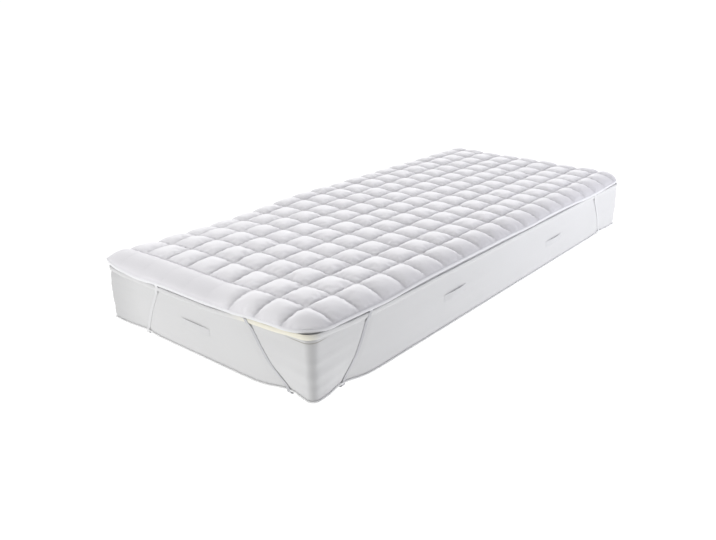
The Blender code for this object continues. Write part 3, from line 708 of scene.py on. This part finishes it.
def make_stitches(name, stitches):
    """One mesh of many stitches: (middles, directions, outward facings)."""
    middles, directions, facings = (np.concatenate(part) for part in zip(*stitches))
    facings = facings - directions * (facings * directions).sum(1)[:, None]
    facings = facings / np.linalg.norm(facings, axis=1)[:, None]
    across = np.cross(directions, facings)
    half, thick = STITCH_LENGTH / 2, STITCH_WIDTH / 2
    corners = [(-half, 0, -thick)]
    for place in (-half * 0.6, half * 0.6):
        corners += [(place, thick, 0), (place, 0, thick), (place, -thick, 0), (place, 0, -thick)]
    corners.append((half, 0, -thick))
    points = np.stack([middles + directions * a + across * b + facings * c for a, b, c in corners], axis=1)
    one = [(0, 2, 1), (0, 3, 2), (0, 4, 3), (0, 1, 4)]
    one += [(1, 2, 6, 5), (2, 3, 7, 6), (3, 4, 8, 7), (4, 1, 5, 8)]
    one += [(9, 5, 6), (9, 6, 7), (9, 7, 8), (9, 8, 5)]
    faces = [tuple(k * 10 + c for c in face) for k in range(len(middles)) for face in one]
    return make_object(name, points.reshape(-1, 3), faces, smooth_angle=80)


# %% Seams through the pad, and the line that holds the binding
THREAD_RISE = 0.0004
BINDING_SEWN_AT = 0.0016           # from the binding's upper edge to its line of stitches

seam_lines = [index[:, k * STEPS_PER_SQUARE] for k in range(1, SQUARES_ACROSS)]
seam_lines += [index[k * STEPS_PER_SQUARE, :] for k in range(1, SQUARES_ALONG)]
seam_stitches = []
for seam_line in seam_lines:
    middle, direction = along_line(upper_cloth[seam_line] + UP * THREAD_RISE, STITCH_PITCH)
    seam_stitches.append((middle, direction, np.tile(UP, (len(middle), 1))))
quilting_thread = make_stitches("quilting_thread", seam_stitches)

binding_line = edge_points(hem_points, hem_outward, BINDING_STARTS + BINDING_SEWN_AT, outer + 0.0002)
middle, direction = along_line(binding_line, STITCH_PITCH, closed=True)
facing = np.cross(direction, UP)
binding_thread = make_stitches("binding_thread", [(middle, direction, facing)])

# %% [markdown]
# ## Elastic corner straps
#
# A flat elastic band is sewn behind the binding at both ends.  It runs down the short
# side, under the corner of the mattress and up the long side, pulled tight.  Its line
# is found by casting rays at the mattress from outside, so that it lies on the border
# wherever the border is.

# %% Where the border is
STRAP_WIDTH = 0.011
STRAP_THICKNESS = 0.0012
WIDTH_SHARES = (-1, -0.5, 0, 0.5, 1)    # places across a band at which a ray is cast
RAY_START = 3.0                    # well outside the mattress


def border_reach(middle, half_across, outward):
    """How far out the mattress's border lies, at most, under a band's whole width."""
    reaches = []
    for share in WIDTH_SHARES:
        place = middle + half_across * share
        hit = mattress_tree.ray_cast(place + outward * RAY_START, -outward)[0]
        reaches.append((hit - place).dot(outward) if hit else 0.0)
    return max(reaches)


front_reach = border_reach(Vector((0, 0, 0.1)), Vector((0.01, 0, 0)), Vector((0, -1, 0)))
print("the front border lies", round(front_reach, 4), "m out, at a height of 10 cm")

# %% One side of a strap
STRAP_STEPS = 56
STRAP_ROOM = 0.0004                # how far the strap stands off the border
STRAP_SEWN_AT = 0.004              # how far down the hem's back its end is sewn
STRAP_SHOWS_AT = 0.002             # how far below the edge it has come out from behind it
STRAP_ABOVE = 0.06                 # share of its slant that it has made at the upper piping
CORD_REACH = 0.006                 # height over which it rises to pass the lower cord


def hem_beside(place, outward):
    """The point of the hem that lies straight out from this place."""
    axis = 0 if outward[0] == 0 else 1
    facing = hem_outward @ np.array(outward) > 0.9
    near = np.argmin(np.where(facing, abs(hem_points[:, axis] - place[axis]), FAR))
    return hem_points[near:near + 1]


def side_run(hem_place, foot_place, outward, half_across):
    """The strap's middle line down one side, as (point, facing)."""
    start = hem_beside(hem_place, outward)
    behind = -(EDGE_HALF_THICKNESS + BINDING_CLOTH + 2 * GAP + STRAP_THICKNESS / 2)
    direction = np.array([list(outward)])
    leaned = outward * math.cos(EDGE_LEAN) + Vector((0, 0, math.sin(EDGE_LEAN)))
    run = [(Vector(edge_points(start, direction, along, behind)[0]), leaned)
           for along in (STRAP_SEWN_AT, EDGE_LENGTH + STRAP_SHOWS_AT)]
    seam = UPPER_SEAM - float(sag(hem_place.x, hem_place.y))
    top = seam + UPPER_PIPING[0] * 0.6
    bottom = LOWER_SEAM + float(lift(foot_place.x, foot_place.y, LOWER_SEAM))
    reaches, flats = [], []
    for share in np.linspace(0, 1, STRAP_STEPS):
        place = hem_place.lerp(foot_place, STRAP_ABOVE + (1 - STRAP_ABOVE) * share)
        place.z = top + (bottom - top) * share
        flat = place - outward * place.dot(outward)
        reach = border_reach(flat, half_across, outward)
        over_roll = math.exp(-(((place.z - seam) / (UPPER_PIPING[0] * 1.5)) ** 4)) * 2 * UPPER_PIPING[1]
        over_cord = math.exp(-(((place.z - bottom) / CORD_REACH) ** 2)) * 2 * LOWER_PIPING[1]
        reaches.append(reach + STRAP_THICKNESS / 2 + STRAP_ROOM + over_roll + over_cord)
        flats.append(flat)
    reaches = np.convolve(np.pad(reaches, 2, mode="edge"), np.ones(5) / 5, mode="valid")
    run += [(flat + outward * float(reach), outward.copy()) for flat, reach in zip(flats, reaches)]
    return run


print("a strap's side is cast at", STRAP_STEPS, "heights")

# %% One strap from hem to hem
STRAP_TURN = [
    # outwards, height, how far its face has turned down, how much of the edge's lift it takes
    (-0.0002, 0.0090, 0.20, 0.95),
    (-0.0020, 0.0052, 0.50, 0.90),
    (-0.0060, 0.0026, 0.80, 0.80),
    (-0.0150, 0.0013, 1.00, 0.60),
]
RIBS = 5
RIB_HEIGHT, GROOVE_HEIGHT = 0.5, 0.36    # as shares of the band's thickness
UNDER_SHARES = (0.2, 0.4, 0.6, 0.8)      # points on the straight run under the corner


def band_section(point, across, facing):
    """A band's section: a ribbed face on each side and rounded edges."""
    places = np.linspace(-1, 1, 2 * RIBS + 1)
    lift_up = [STRAP_THICKNESS * (RIB_HEIGHT if k % 2 else GROOVE_HEIGHT) for k in range(len(places))]
    front = [point + across * s + facing * h for s, h in zip(places, lift_up)]
    back = [point + across * s - facing * h for s, h in zip(places[::-1], lift_up)]
    return front + back


def make_strap(strap):
    """One band: down the short side, under the corner and up the long side."""
    name, side_x, side_y, short_hem, short_foot, long_hem, long_foot, _, _ = strap
    corner = Vector((side_x * HALF_WIDTH, side_y * HALF_LENGTH, 0))
    turned = side_x * side_y
    stretches = []
    for outward, away, hem_at, foot_at, way in (
        (Vector((0, side_y, 0)), Vector((-side_x, 0, 0)), short_hem, short_foot, 1),
        (Vector((side_x, 0, 0)), Vector((0, -side_y, 0)), long_hem, long_foot, -1),
    ):
        slant = math.hypot(hem_at - foot_at, UPPER_SEAM) / UPPER_SEAM
        across = Vector((-outward.y, outward.x, 0)) * (STRAP_WIDTH / 2 * slant)
        run = side_run(corner + away * hem_at, corner + away * foot_at, outward, across)
        seam_point = run[-1][0]
        lifted = seam_point.z - LOWER_SEAM
        for out, height, turn, lift_share in STRAP_TURN:
            point = seam_point + outward * out
            point.z = height + lifted * lift_share
            run.append((point, outward.lerp(Vector((0, 0, -1)), turn).normalized()))
        stretches.append([(point, across * turned * way, facing) for point, facing in run])
    first, last = stretches[0][-1][0], stretches[1][-1][0]
    way_under = (last - first).normalized()
    under_across = Vector((way_under.y, -way_under.x, 0)) * (STRAP_WIDTH / 2)
    if under_across.dot(stretches[0][-1][1]) < 0:
        under_across.negate()
    under = [(first.lerp(last, share), under_across, Vector((0, 0, -1))) for share in UNDER_SHARES]
    path = stretches[0] + under + stretches[1][::-1]
    length = sum((b[0] - a[0]).length for a, b in zip(path, path[1:]))
    print(f"strap {name}: {length:.3f} m long")
    sections = [[tuple(p) for p in band_section(*step)] for step in path]
    return sweep(f"elastic_{name}", sections)


straps = {strap[0]: make_strap(strap) for strap in STRAPS}

# %% [markdown]
# ## Carrying handles
#
# Each handle is a flat woven tape.  Its two ends are sewn down with a box of stitches,
# and the stretch between bows out a little.  A bevelled cube would stand on the border
# as a bar, so the tape is swept like the straps, and its back follows the border.

# %% Tape handles
HANDLE_LENGTH = 0.130
HANDLE_WIDTH = 0.026
HANDLE_THICKNESS = 0.002
HANDLE_BOW = 0.0025                # how far the middle stands off the border
FLAT_FRONT_HANDLE = 0.4            # the front one, pulled tight, bows by this share of it
THIN_END = 0.08                    # a tape's ends are pressed to this share of its thickness
BOW_FROM, THIN_FROM = (0.12, 0.34), (0.0, 0.16)    # shares of the length from an end
HANDLE_STEPS = 41
BOX_STEPS = ((1, 8), (32, 39))     # steps between which each end is sewn down
BOX_SHARE = 0.78                   # height of the box of stitches, to that of the tape

HANDLES = [
    # name, outward x, outward y, place along the side, height of its middle
    ("right_front", 1, 0, -0.340, 0.115),
    ("right_back", 1, 0, 0.357, 0.102),
    ("left_front", -1, 0, -0.340, 0.108),
    ("left_back", -1, 0, 0.350, 0.105),
    ("front", 0, -1, -0.020, 0.105),
    ("back", 0, 1, 0.000, 0.105),
]
# half of a tape's section: share of its half width, share of its half thickness
TAPE_ROUND = [
    (-1.0, 0.0), (-0.97, 0.8), (-0.88, 1.0), (-0.45, 1.0),
    (0.0, 1.0), (0.45, 1.0), (0.88, 1.0), (0.97, 0.8),
]


def make_handle(handle):
    """One tape handle, and the stitches of the boxes that hold its two ends."""
    name, out_x, out_y, place, height = handle
    outward = Vector((out_x, out_y, 0))
    along = Vector((-out_y, out_x, 0))
    middle = Vector((abs(out_y) * place, abs(out_x) * place, height))
    half_height = Vector((0, 0, HANDLE_WIDTH / 2))
    bow_height = HANDLE_BOW * (FLAT_FRONT_HANDLE if name == "front" else 1)
    sections, outer_line = [], []
    for share in np.linspace(-0.5, 0.5, HANDLE_STEPS):
        centre = middle + along * (share * HANDLE_LENGTH)
        reach = border_reach(centre, half_height, outward)
        bow = bow_height * float(smooth_step(0.5 - abs(share), *BOW_FROM))
        full = float(smooth_step(0.5 - abs(share), *THIN_FROM))
        thin = HANDLE_THICKNESS / 2 * (THIN_END + (1 - THIN_END) * full)
        centre = centre + outward * (reach + GAP + thin + bow)
        loop = [centre + half_height * s + outward * (thin * t) for s, t in TAPE_ROUND]
        loop += [centre - half_height * s - outward * (thin * t) for s, t in TAPE_ROUND]
        sections.append([tuple(p) for p in loop])
        outer_line.append(centre + outward * (thin + 0.0001))
    tape = sweep(f"tape_handle_{name}", sections)
    boxes = []
    for start, end in BOX_STEPS:
        left, right = outer_line[start], outer_line[end]
        rise = half_height * BOX_SHARE
        box = [left - rise, right - rise, right + rise, left + rise, left - rise, right + rise]
        line = []
        for a, b in zip(box, box[1:]):
            line += [list(a.lerp(b, t)) for t in np.linspace(0, 1, 5)[:-1]]
        spots, direction = along_line(line + [list(box[-1])], STITCH_PITCH)
        boxes.append((spots, direction, np.tile(np.array(outward), (len(spots), 1))))
    return tape, boxes


handles, handle_boxes = {}, []
for handle in HANDLES:
    tape, boxes = make_handle(handle)
    handles[handle[0]] = tape
    handle_boxes += boxes
handle_thread = make_stitches("handle_thread", handle_boxes)

# %% [markdown]
# ## Writing finishes as arithmetic
#
# A shader's node tree is a formula.  The small class below wraps one output of a node,
# so that `1 - mask` or `height * 0.5` adds the Math node that it stands for.  A Finish
# holds one material and has one method that adds any other node.

# %% Sockets that can be added and multiplied
class Value:
    """One number or colour that comes out of a node."""

    def __init__(self, finish, socket):
        self.finish = finish
        self.socket = socket

    def maths(self, operation, first, second=0.0):
        return self.finish.add("ShaderNodeMath", {"operation": operation}, {0: first, 1: second})

    def __add__(self, other):
        return self.maths("ADD", self, other)

    def __sub__(self, other):
        return self.maths("SUBTRACT", self, other)

    def __rsub__(self, other):
        return self.maths("SUBTRACT", other, self)

    def __mul__(self, other):
        return self.maths("MULTIPLY", self, other)

    def sine(self):
        return self.maths("SINE", self)

    def to_nearest(self, first, pitch):
        """Distance to the nearest of a row of lines, that pitch apart, from the first on."""
        return self.maths("PINGPONG", self - first, pitch / 2)

    def most(self, other):
        """The larger of two numbers."""
        return self.maths("MAXIMUM", self, other)

    def ramp(self, start, end):
        """0 below the start and 1 over the end, smooth between."""
        settings = {"interpolation_type": "SMOOTHSTEP"}
        inputs = {0: self, 1: start, 2: end, 3: 0.0, 4: 1.0}
        return self.finish.add("ShaderNodeMapRange", settings, inputs)

    __radd__ = __add__
    __rmul__ = __mul__


print("a Value can also do:", [name for name in vars(Value) if not name.startswith("_")])


# %% A finish and its nodes
class Finish:
    """A material, with a method that adds nodes to it."""

    def __init__(self, name, roughness, sheen):
        self.material = bpy.data.materials.new(name)
        self.material.use_nodes = True
        self.tree = self.material.node_tree
        self.shader = self.tree.nodes["Principled BSDF"]
        self.shader.inputs["Roughness"].default_value = roughness
        self.shader.inputs["Sheen Weight"].default_value = sheen
        self.shader.inputs["Sheen Roughness"].default_value = 0.5
        self.shader.inputs["Specular IOR Level"].default_value = 0.25

    def plug(self, value, socket):
        if isinstance(value, Value):
            self.tree.links.new(value.socket, socket)
        else:
            socket.default_value = value

    def add(self, kind, settings=None, inputs=None, output=0):
        """Adds a node: its settings first, then what goes in; gives one output."""
        node = self.tree.nodes.new(kind)
        for key, value in (settings or {}).items():
            setattr(node, key, value)
        for key, value in (inputs or {}).items():
            self.plug(value, node.inputs[key])
        return Value(self, node.outputs[output])

    def place(self):
        """The point on the piece, in metres."""
        return self.add("ShaderNodeTexCoord", output=3)

    def mottle(self, scale, detail=2.0):
        """Cloudy noise from 0 to 1, with so many clouds to the metre."""
        inputs = {"Vector": self.place(), "Scale": scale, "Detail": detail}
        return self.add("ShaderNodeTexNoise", None, inputs)

    def colours(self, factor, first, second):
        """A colour between two, of which the first may come out of a node."""
        first = first if isinstance(first, Value) else (*first, 1)
        settings = {"data_type": "RGBA"}
        return self.add("ShaderNodeMix", settings, {0: factor, 6: first, 7: (*second, 1)}, output=2)

    def paint(self, colour):
        """Makes this the cloth's colour."""
        self.colour = colour
        self.plug(colour, self.shader.inputs["Base Color"])

    def deepen(self, colour, amount):
        """Mixes one more colour in, by an amount that varies over the cloth."""
        self.paint(self.colours(amount, self.colour, colour))

    def bump(self, height, strength, distance):
        inputs = {"Height": height, "Strength": strength, "Distance": distance}
        normal = self.add("ShaderNodeBump", None, inputs)
        self.plug(normal, self.shader.inputs["Normal"])

    def axes(self):
        """The three coordinates of the point on the piece."""
        split = self.add("ShaderNodeSeparateXYZ", None, {0: self.place()})
        return [Value(self, split.socket.node.outputs[k]) for k in range(3)]

    def weave(self, pitch):
        """Threads that cross on every face, from about -3 to 3."""
        x, y, z = self.axes()
        turns = 2 * math.pi / pitch
        return (x * turns).sine() + (y * turns).sine() + (z * turns).sine()


print("a Finish can do:", [name for name in vars(Finish) if not name.startswith("_")])

# %% [markdown]
# ## The cloths
#
# The topper's cloth is a fine white cotton, and the mattress border is a greyer knit.
# White cloth is never one flat white: the weave, faint clouds in the colour and a little
# sheen on the threads keep it from looking like plaster.

# %% Cloth in two close colours
FUZZ_TO_METRE = 900
WEAVE_SHARE, FUZZ_SHARE = 0.16, 0.8    # of the relief
BUMP_STRENGTH = 0.35
SMOOTHER, SPREAD = 0.08, 0.12          # clouds differ in roughness from less to more by this


def cloth(name, light, dark, roughness, sheen, pitch, clouds, relief):
    """Cloth in soft clouds of two close colours, with its weave and fuzz as relief."""
    finish = Finish(name, roughness, sheen)
    cloudy = finish.mottle(clouds)
    finish.paint(finish.colours(cloudy, dark, light))
    finish.plug(roughness - SMOOTHER + cloudy * SPREAD, finish.shader.inputs["Roughness"])
    fuzz = finish.mottle(FUZZ_TO_METRE, 3.0)
    finish.bump(finish.weave(pitch) * WEAVE_SHARE + fuzz * FUZZ_SHARE, BUMP_STRENGTH, relief)
    return finish


CLOTHS = [
    # cloth, lighter and darker colour, roughness, sheen, weave's pitch, clouds to the metre, relief
    ("quilt cloth", (0.905, 0.895, 0.918), (0.875, 0.865, 0.893), 0.85, 0.15, 0.0011, 9, 0.00035),
    ("border cloth", (0.71, 0.71, 0.715), (0.68, 0.68, 0.68), 0.90, 0.20, 0.0024, 5, 0.0005),
    ("piping cloth", (0.71, 0.71, 0.712), (0.68, 0.68, 0.682), 0.80, 0.15, 0.0012, 30, 0.0003),
    # painted light: the lower cord is lighter than the border, against the shade under its bulge
    ("cord cloth", (0.92, 0.92, 0.92), (0.89, 0.89, 0.89), 0.85, 0.15, 0.0012, 30, 0.0003),
    ("binding cloth", (0.88, 0.88, 0.90), (0.84, 0.84, 0.86), 0.80, 0.15, 0.0014, 25, 0.0004),
    ("elastic", (0.76, 0.76, 0.77), (0.71, 0.71, 0.72), 0.75, 0.10, 0.0010, 60, 0.0003),
    # painted shade: the front right strap's elastic, darker than the others'
    ("shaded elastic", (0.60, 0.60, 0.62), (0.54, 0.54, 0.56), 0.75, 0.10, 0.0010, 60, 0.0003),
    ("handle cloth", (0.70, 0.70, 0.705), (0.67, 0.67, 0.675), 0.80, 0.15, 0.0016, 40, 0.0005),
    ("thread", (0.74, 0.73, 0.76), (0.66, 0.65, 0.68), 0.60, 0.10, 0.0008, 80, 0.0001),
]
finishes = {row[0]: cloth(*row) for row in CLOTHS}
print("cloths:", ", ".join(finishes))

# %% [markdown]
# ## Painted shade in the creases
#
# Light bounces about in the creases of real cloth less than it does in a smooth model, so
# the quilt's colour is darkened there as painted shade. It is also darkened over the puffs'
# flanks, on the front row where its seams are pulled flat and on the squares along the right
# edge. A darker colour could be painted on a texture, but each seam's place is known, so the
# shade is worked out from the distance to the nearest one.
# The masks below run from 0 to 1 over the cloth, and are multiplied like numbers.

# %% Quilt: painted shade along its seams
# painted shade: the colour mixed into the quilt in its creases and on its flanks
CREASE_SHADE_COLOUR = (0.50, 0.488, 0.518)
NARROW = (0.001, 0.010)            # from a seam's thread to where its narrow shade ends
WIDE = (0.0, 0.028)                # and the same for the wide shade of the puffs' flanks
LONG_SEAM_SHADE, CROSS_SEAM_SHADE, PULLED_SHADE = 0.58, 0.46, 0.24
SHADE_LOST = 0.8                   # share of a long seam's shade that goes where it is pulled flat
FRONT_ROW = (-LAST_SEAM_Y + 0.008, -LAST_SEAM_Y - 0.008)
BACKWARDS = (-0.75, -0.20)         # from where to where along y the shades below grow
FLANK_SHADE = (0.16, 0.14)         # at the front, and how much more at the back
RIGHT_SHADE = (0.12, 0.30)         # the same for the squares along the right edge
RIGHT_SQUARES = (0.37, 0.455)


def towards(x, y, along_x, along_y):
    """A mask that rises along both axes, towards a corner."""
    return x.ramp(*along_x) * y.ramp(*along_y)


x, y, _ = finishes["quilt cloth"].axes()
to_long_seam = x.to_nearest(-LAST_SEAM_X, SQUARE)
to_cross_seam = y.to_nearest(-LAST_SEAM_Y, SQUARE)
pulled = towards(x, y, PULLED_FLAT, FRONT_ROW)
long_seam_shade_mask = (1 - to_long_seam.ramp(*NARROW)) * (1 - pulled * SHADE_LOST) * LONG_SEAM_SHADE
cross_seam_shade_mask = (1 - to_cross_seam.ramp(*NARROW)) * CROSS_SEAM_SHADE
flank_shade_mask = (1 - to_long_seam.ramp(*WIDE)) * (1 - pulled) + (1 - to_cross_seam.ramp(*WIDE))
to_the_back = y.ramp(*BACKWARDS)
right_square_shade_mask = x.ramp(*RIGHT_SQUARES) * (to_the_back * RIGHT_SHADE[1] + RIGHT_SHADE[0])
flank_shade_mask = flank_shade_mask * (to_the_back * FLANK_SHADE[1] + FLANK_SHADE[0])
crease_shade_mask = long_seam_shade_mask.most(cross_seam_shade_mask).most(flank_shade_mask)
# painted shade, darker along seams and flanks, on the pulled front row and on the right squares
finishes["quilt cloth"].deepen(CREASE_SHADE_COLOUR, crease_shade_mask.most(right_square_shade_mask).most(pulled * PULLED_SHADE))
print("shade within", WIDE[1] * 1000, "mm of a seam")

# %% Piping and border: the front corners, with painted shade on the border
CREAM = (0.86, 0.83, 0.71)
CREAM_CORNER = ((0.12, 0.26), (-0.96, -1.005))     # from where to where along x and along y
# painted shade for the border round both front corners
PAINTED_BORDER_SHADE = (0.50, 0.50, 0.505)
RIGHT_CORNER, RIGHT_AMOUNT = ((0.42, 0.45), (-0.96, -0.995)), 0.60
LEFT_CORNER, LEFT_AMOUNT = ((-0.28, -0.45), (-0.93, -0.99)), 0.56
# painted shadow lines below the roll by the right corner
FOLD_SHADOW_COLOUR, FOLD_AMOUNT = (0.34, 0.32, 0.28), 0.8
FOLD_CORNER = ((0.34, 0.40), (-0.92, -0.97))
FOLD_HEIGHT, FOLD_PITCH, FOLD_WIDTH = 0.1925, 0.0095, (0.0003, 0.0018)
FOLDS_FROM, FOLDS_TO = (0.1885, 0.1895), (0.2055, 0.2045)

# the roll's cloth has yellowed round the right corner
x, y, _ = finishes["piping cloth"].axes()
finishes["piping cloth"].deepen(CREAM, towards(x, y, *CREAM_CORNER))

# painted shade: the border is darkened round both corners, and two fine dark lines by the
# right one are painted shadow, of the roll and of a fold below it
x, y, z = finishes["border cloth"].axes()
right_corner_shade = towards(x, y, *RIGHT_CORNER) * RIGHT_AMOUNT
left_corner_shade = towards(x, y, *LEFT_CORNER) * LEFT_AMOUNT
finishes["border cloth"].deepen(PAINTED_BORDER_SHADE, right_corner_shade + left_corner_shade)
folds = 1 - z.to_nearest(FOLD_HEIGHT, FOLD_PITCH).ramp(*FOLD_WIDTH)
folds = folds * z.ramp(*FOLDS_FROM) * z.ramp(*FOLDS_TO)
finishes["border cloth"].deepen(FOLD_SHADOW_COLOUR, folds * towards(x, y, *FOLD_CORNER) * FOLD_AMOUNT)
print("folds", FOLD_PITCH * 1000, "mm apart")

# %% [markdown]
# ## Finishing, riding and replacing
#
# One table says for each piece which CAD solid it stands for, which finish of the record
# it takes and which cloth it gets here.  The thread stands for no solid.  Nothing moves,
# so every piece rides on the one body.

# %% Put the pieces on the frame
PIECES = [
    (mattress, "mattress", "border_cloth", "border cloth"),
    (piping_upper, "piping_upper", "piping_cloth", "piping cloth"),
    (piping_lower, "piping_lower", "piping_cloth", "cord cloth"),
    (pad, "quilted_pad", "quilt_cloth", "quilt cloth"),
    (binding, "edge_binding", "binding_cloth", "binding cloth"),
]
SHADED_STRAP = "front_right"               # the strap whose elastic is painted grey, as painted shade
PIECES += [(strap, f"corner_strap_{name}", "elastic", "shaded elastic" if name == SHADED_STRAP else "elastic")
           for name, strap in straps.items()]
PIECES += [(tape, f"handle_{name}", "handle_cloth", "handle cloth") for name, tape in handles.items()]
PIECES += [
    (quilting_thread, None, "quilt_cloth", "thread"),
    (binding_thread, None, "binding_cloth", "thread"),
    (handle_thread, None, "handle_cloth", "thread"),
]

for piece, node, slot, cloth_name in PIECES:
    piece.data.materials.append(finishes[cloth_name].material)
    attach(piece, "root")
    if node:
        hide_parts(node)
print("pieces on the frame:", len(PIECES))

# %% [markdown]
# ## Floor, light and camera
#
# A product like this is shot on pure white.  The floor glows, so that it stays white with
# hardly a shadow and throws light up on to the border.  The main light comes low over the
# far left side, which gives every puff a bright crown and a darker near slope.  The
# others brighten the two sides that face the camera, but not the corner between them.
# The camera's place was worked out from the crossings of the seams in the photograph.

# %% Floor
FLOOR_GLOW = 1.0
FLOOR_SIZE = 500

floor_finish = Finish("floor", 0.9, 0.0)
floor_finish.paint(floor_finish.colours(floor_finish.mottle(0.7), (0.15, 0.15, 0.15), (0.17, 0.17, 0.17)))
floor_finish.shader.inputs["Emission Color"].default_value = (1, 1, 1, 1)
floor_finish.shader.inputs["Emission Strength"].default_value = FLOOR_GLOW
bpy.ops.mesh.primitive_plane_add(size=FLOOR_SIZE, location=(0, 0, 0))
floor = bpy.context.active_object
floor.name = "floor"
floor.data.materials.append(floor_finish.material)
print("floor:", FLOOR_SIZE, "m square")

# %% Light
STUDIO_GLOW = 0.24                 # brightness of the white room, from all sides

world = bpy.data.worlds.new("studio")
bpy.context.scene.world = world
world.use_nodes = True
world.node_tree.nodes["Background"].inputs["Color"].default_value = (1, 1, 1, 1)
world.node_tree.nodes["Background"].inputs["Strength"].default_value = STUDIO_GLOW

LIGHTS = [
    # name, place, what it points at, size, watts, colour
    ("far_left", (-3.82, 5.07, 3.16), (0, 0, 0.2), 4.0, 440, (1, 1, 1)),
    ("high_left", (-1.02, -1.1, 3.3), (0, -0.2, 0.2), 2.0, 40, (1, 1, 1)),
    ("low_front", (-0.45, -2.7, 0.9), (0.0, -1.0, 0.1), 1.0, 14.5, (1, 1, 1)),
    ("low_right", (2.15, 0.95, 0.8), (0.45, 0.4, 0.1), 1.2, 23.5, (0.92, 0.93, 1.0)),
]

for name, place, aim, size, watts, colour in LIGHTS:
    light = bpy.data.lights.new(name, "AREA")
    light.shape = "SQUARE"
    light.size = size
    light.energy = watts
    light.color = colour
    lamp = bpy.data.objects.new(name, light)
    bpy.context.scene.collection.objects.link(lamp)
    lamp.location = place
    lamp.rotation_euler = (Vector(place) - Vector(aim)).to_track_quat("Z", "Y").to_euler()
    lamp.visible_camera = False
print("lights:", len(LIGHTS))

# %% Camera
PICTURE_WIDTH = 716
FOCAL_PIXELS = 724.9
PRINCIPAL_X = 411.2                # pixel column that the lens looks straight at
SENSOR_WIDTH = 36                  # in millimetres
CAMERA_YAW = math.radians(36.647)
CAMERA_PITCH = math.radians(21.749)
CAMERA_ROLL = math.radians(0.651)
CAMERA_DISTANCE = 2.1661
CAMERA_TARGET = Vector((0.4155, -0.5347, SEAM_HEIGHT))

back = Vector((math.sin(CAMERA_YAW) * math.cos(CAMERA_PITCH),
               -math.cos(CAMERA_YAW) * math.cos(CAMERA_PITCH),
               math.sin(CAMERA_PITCH)))
right = Vector((math.cos(CAMERA_YAW), math.sin(CAMERA_YAW), 0))
up = back.cross(right)
right, up = (math.cos(CAMERA_ROLL) * right + math.sin(CAMERA_ROLL) * up,
             -math.sin(CAMERA_ROLL) * right + math.cos(CAMERA_ROLL) * up)
lens = bpy.data.cameras.new("camera")
lens.sensor_fit = "HORIZONTAL"
lens.sensor_width = SENSOR_WIDTH
lens.lens = FOCAL_PIXELS / PICTURE_WIDTH * SENSOR_WIDTH
lens.shift_x = (PICTURE_WIDTH / 2 - PRINCIPAL_X) / PICTURE_WIDTH
lens.dof.use_dof = False
camera = bpy.data.objects.new("camera", lens)
bpy.context.scene.collection.objects.link(camera)
turned = Matrix((right, up, back)).transposed().to_4x4()
camera.matrix_world = Matrix.Translation(CAMERA_TARGET + back * CAMERA_DISTANCE) @ turned
bpy.context.scene.camera = camera
bpy.context.scene.view_settings.view_transform = "Standard"
print("lens:", round(lens.lens, 2), "mm")

# %% [markdown]
# ## The end
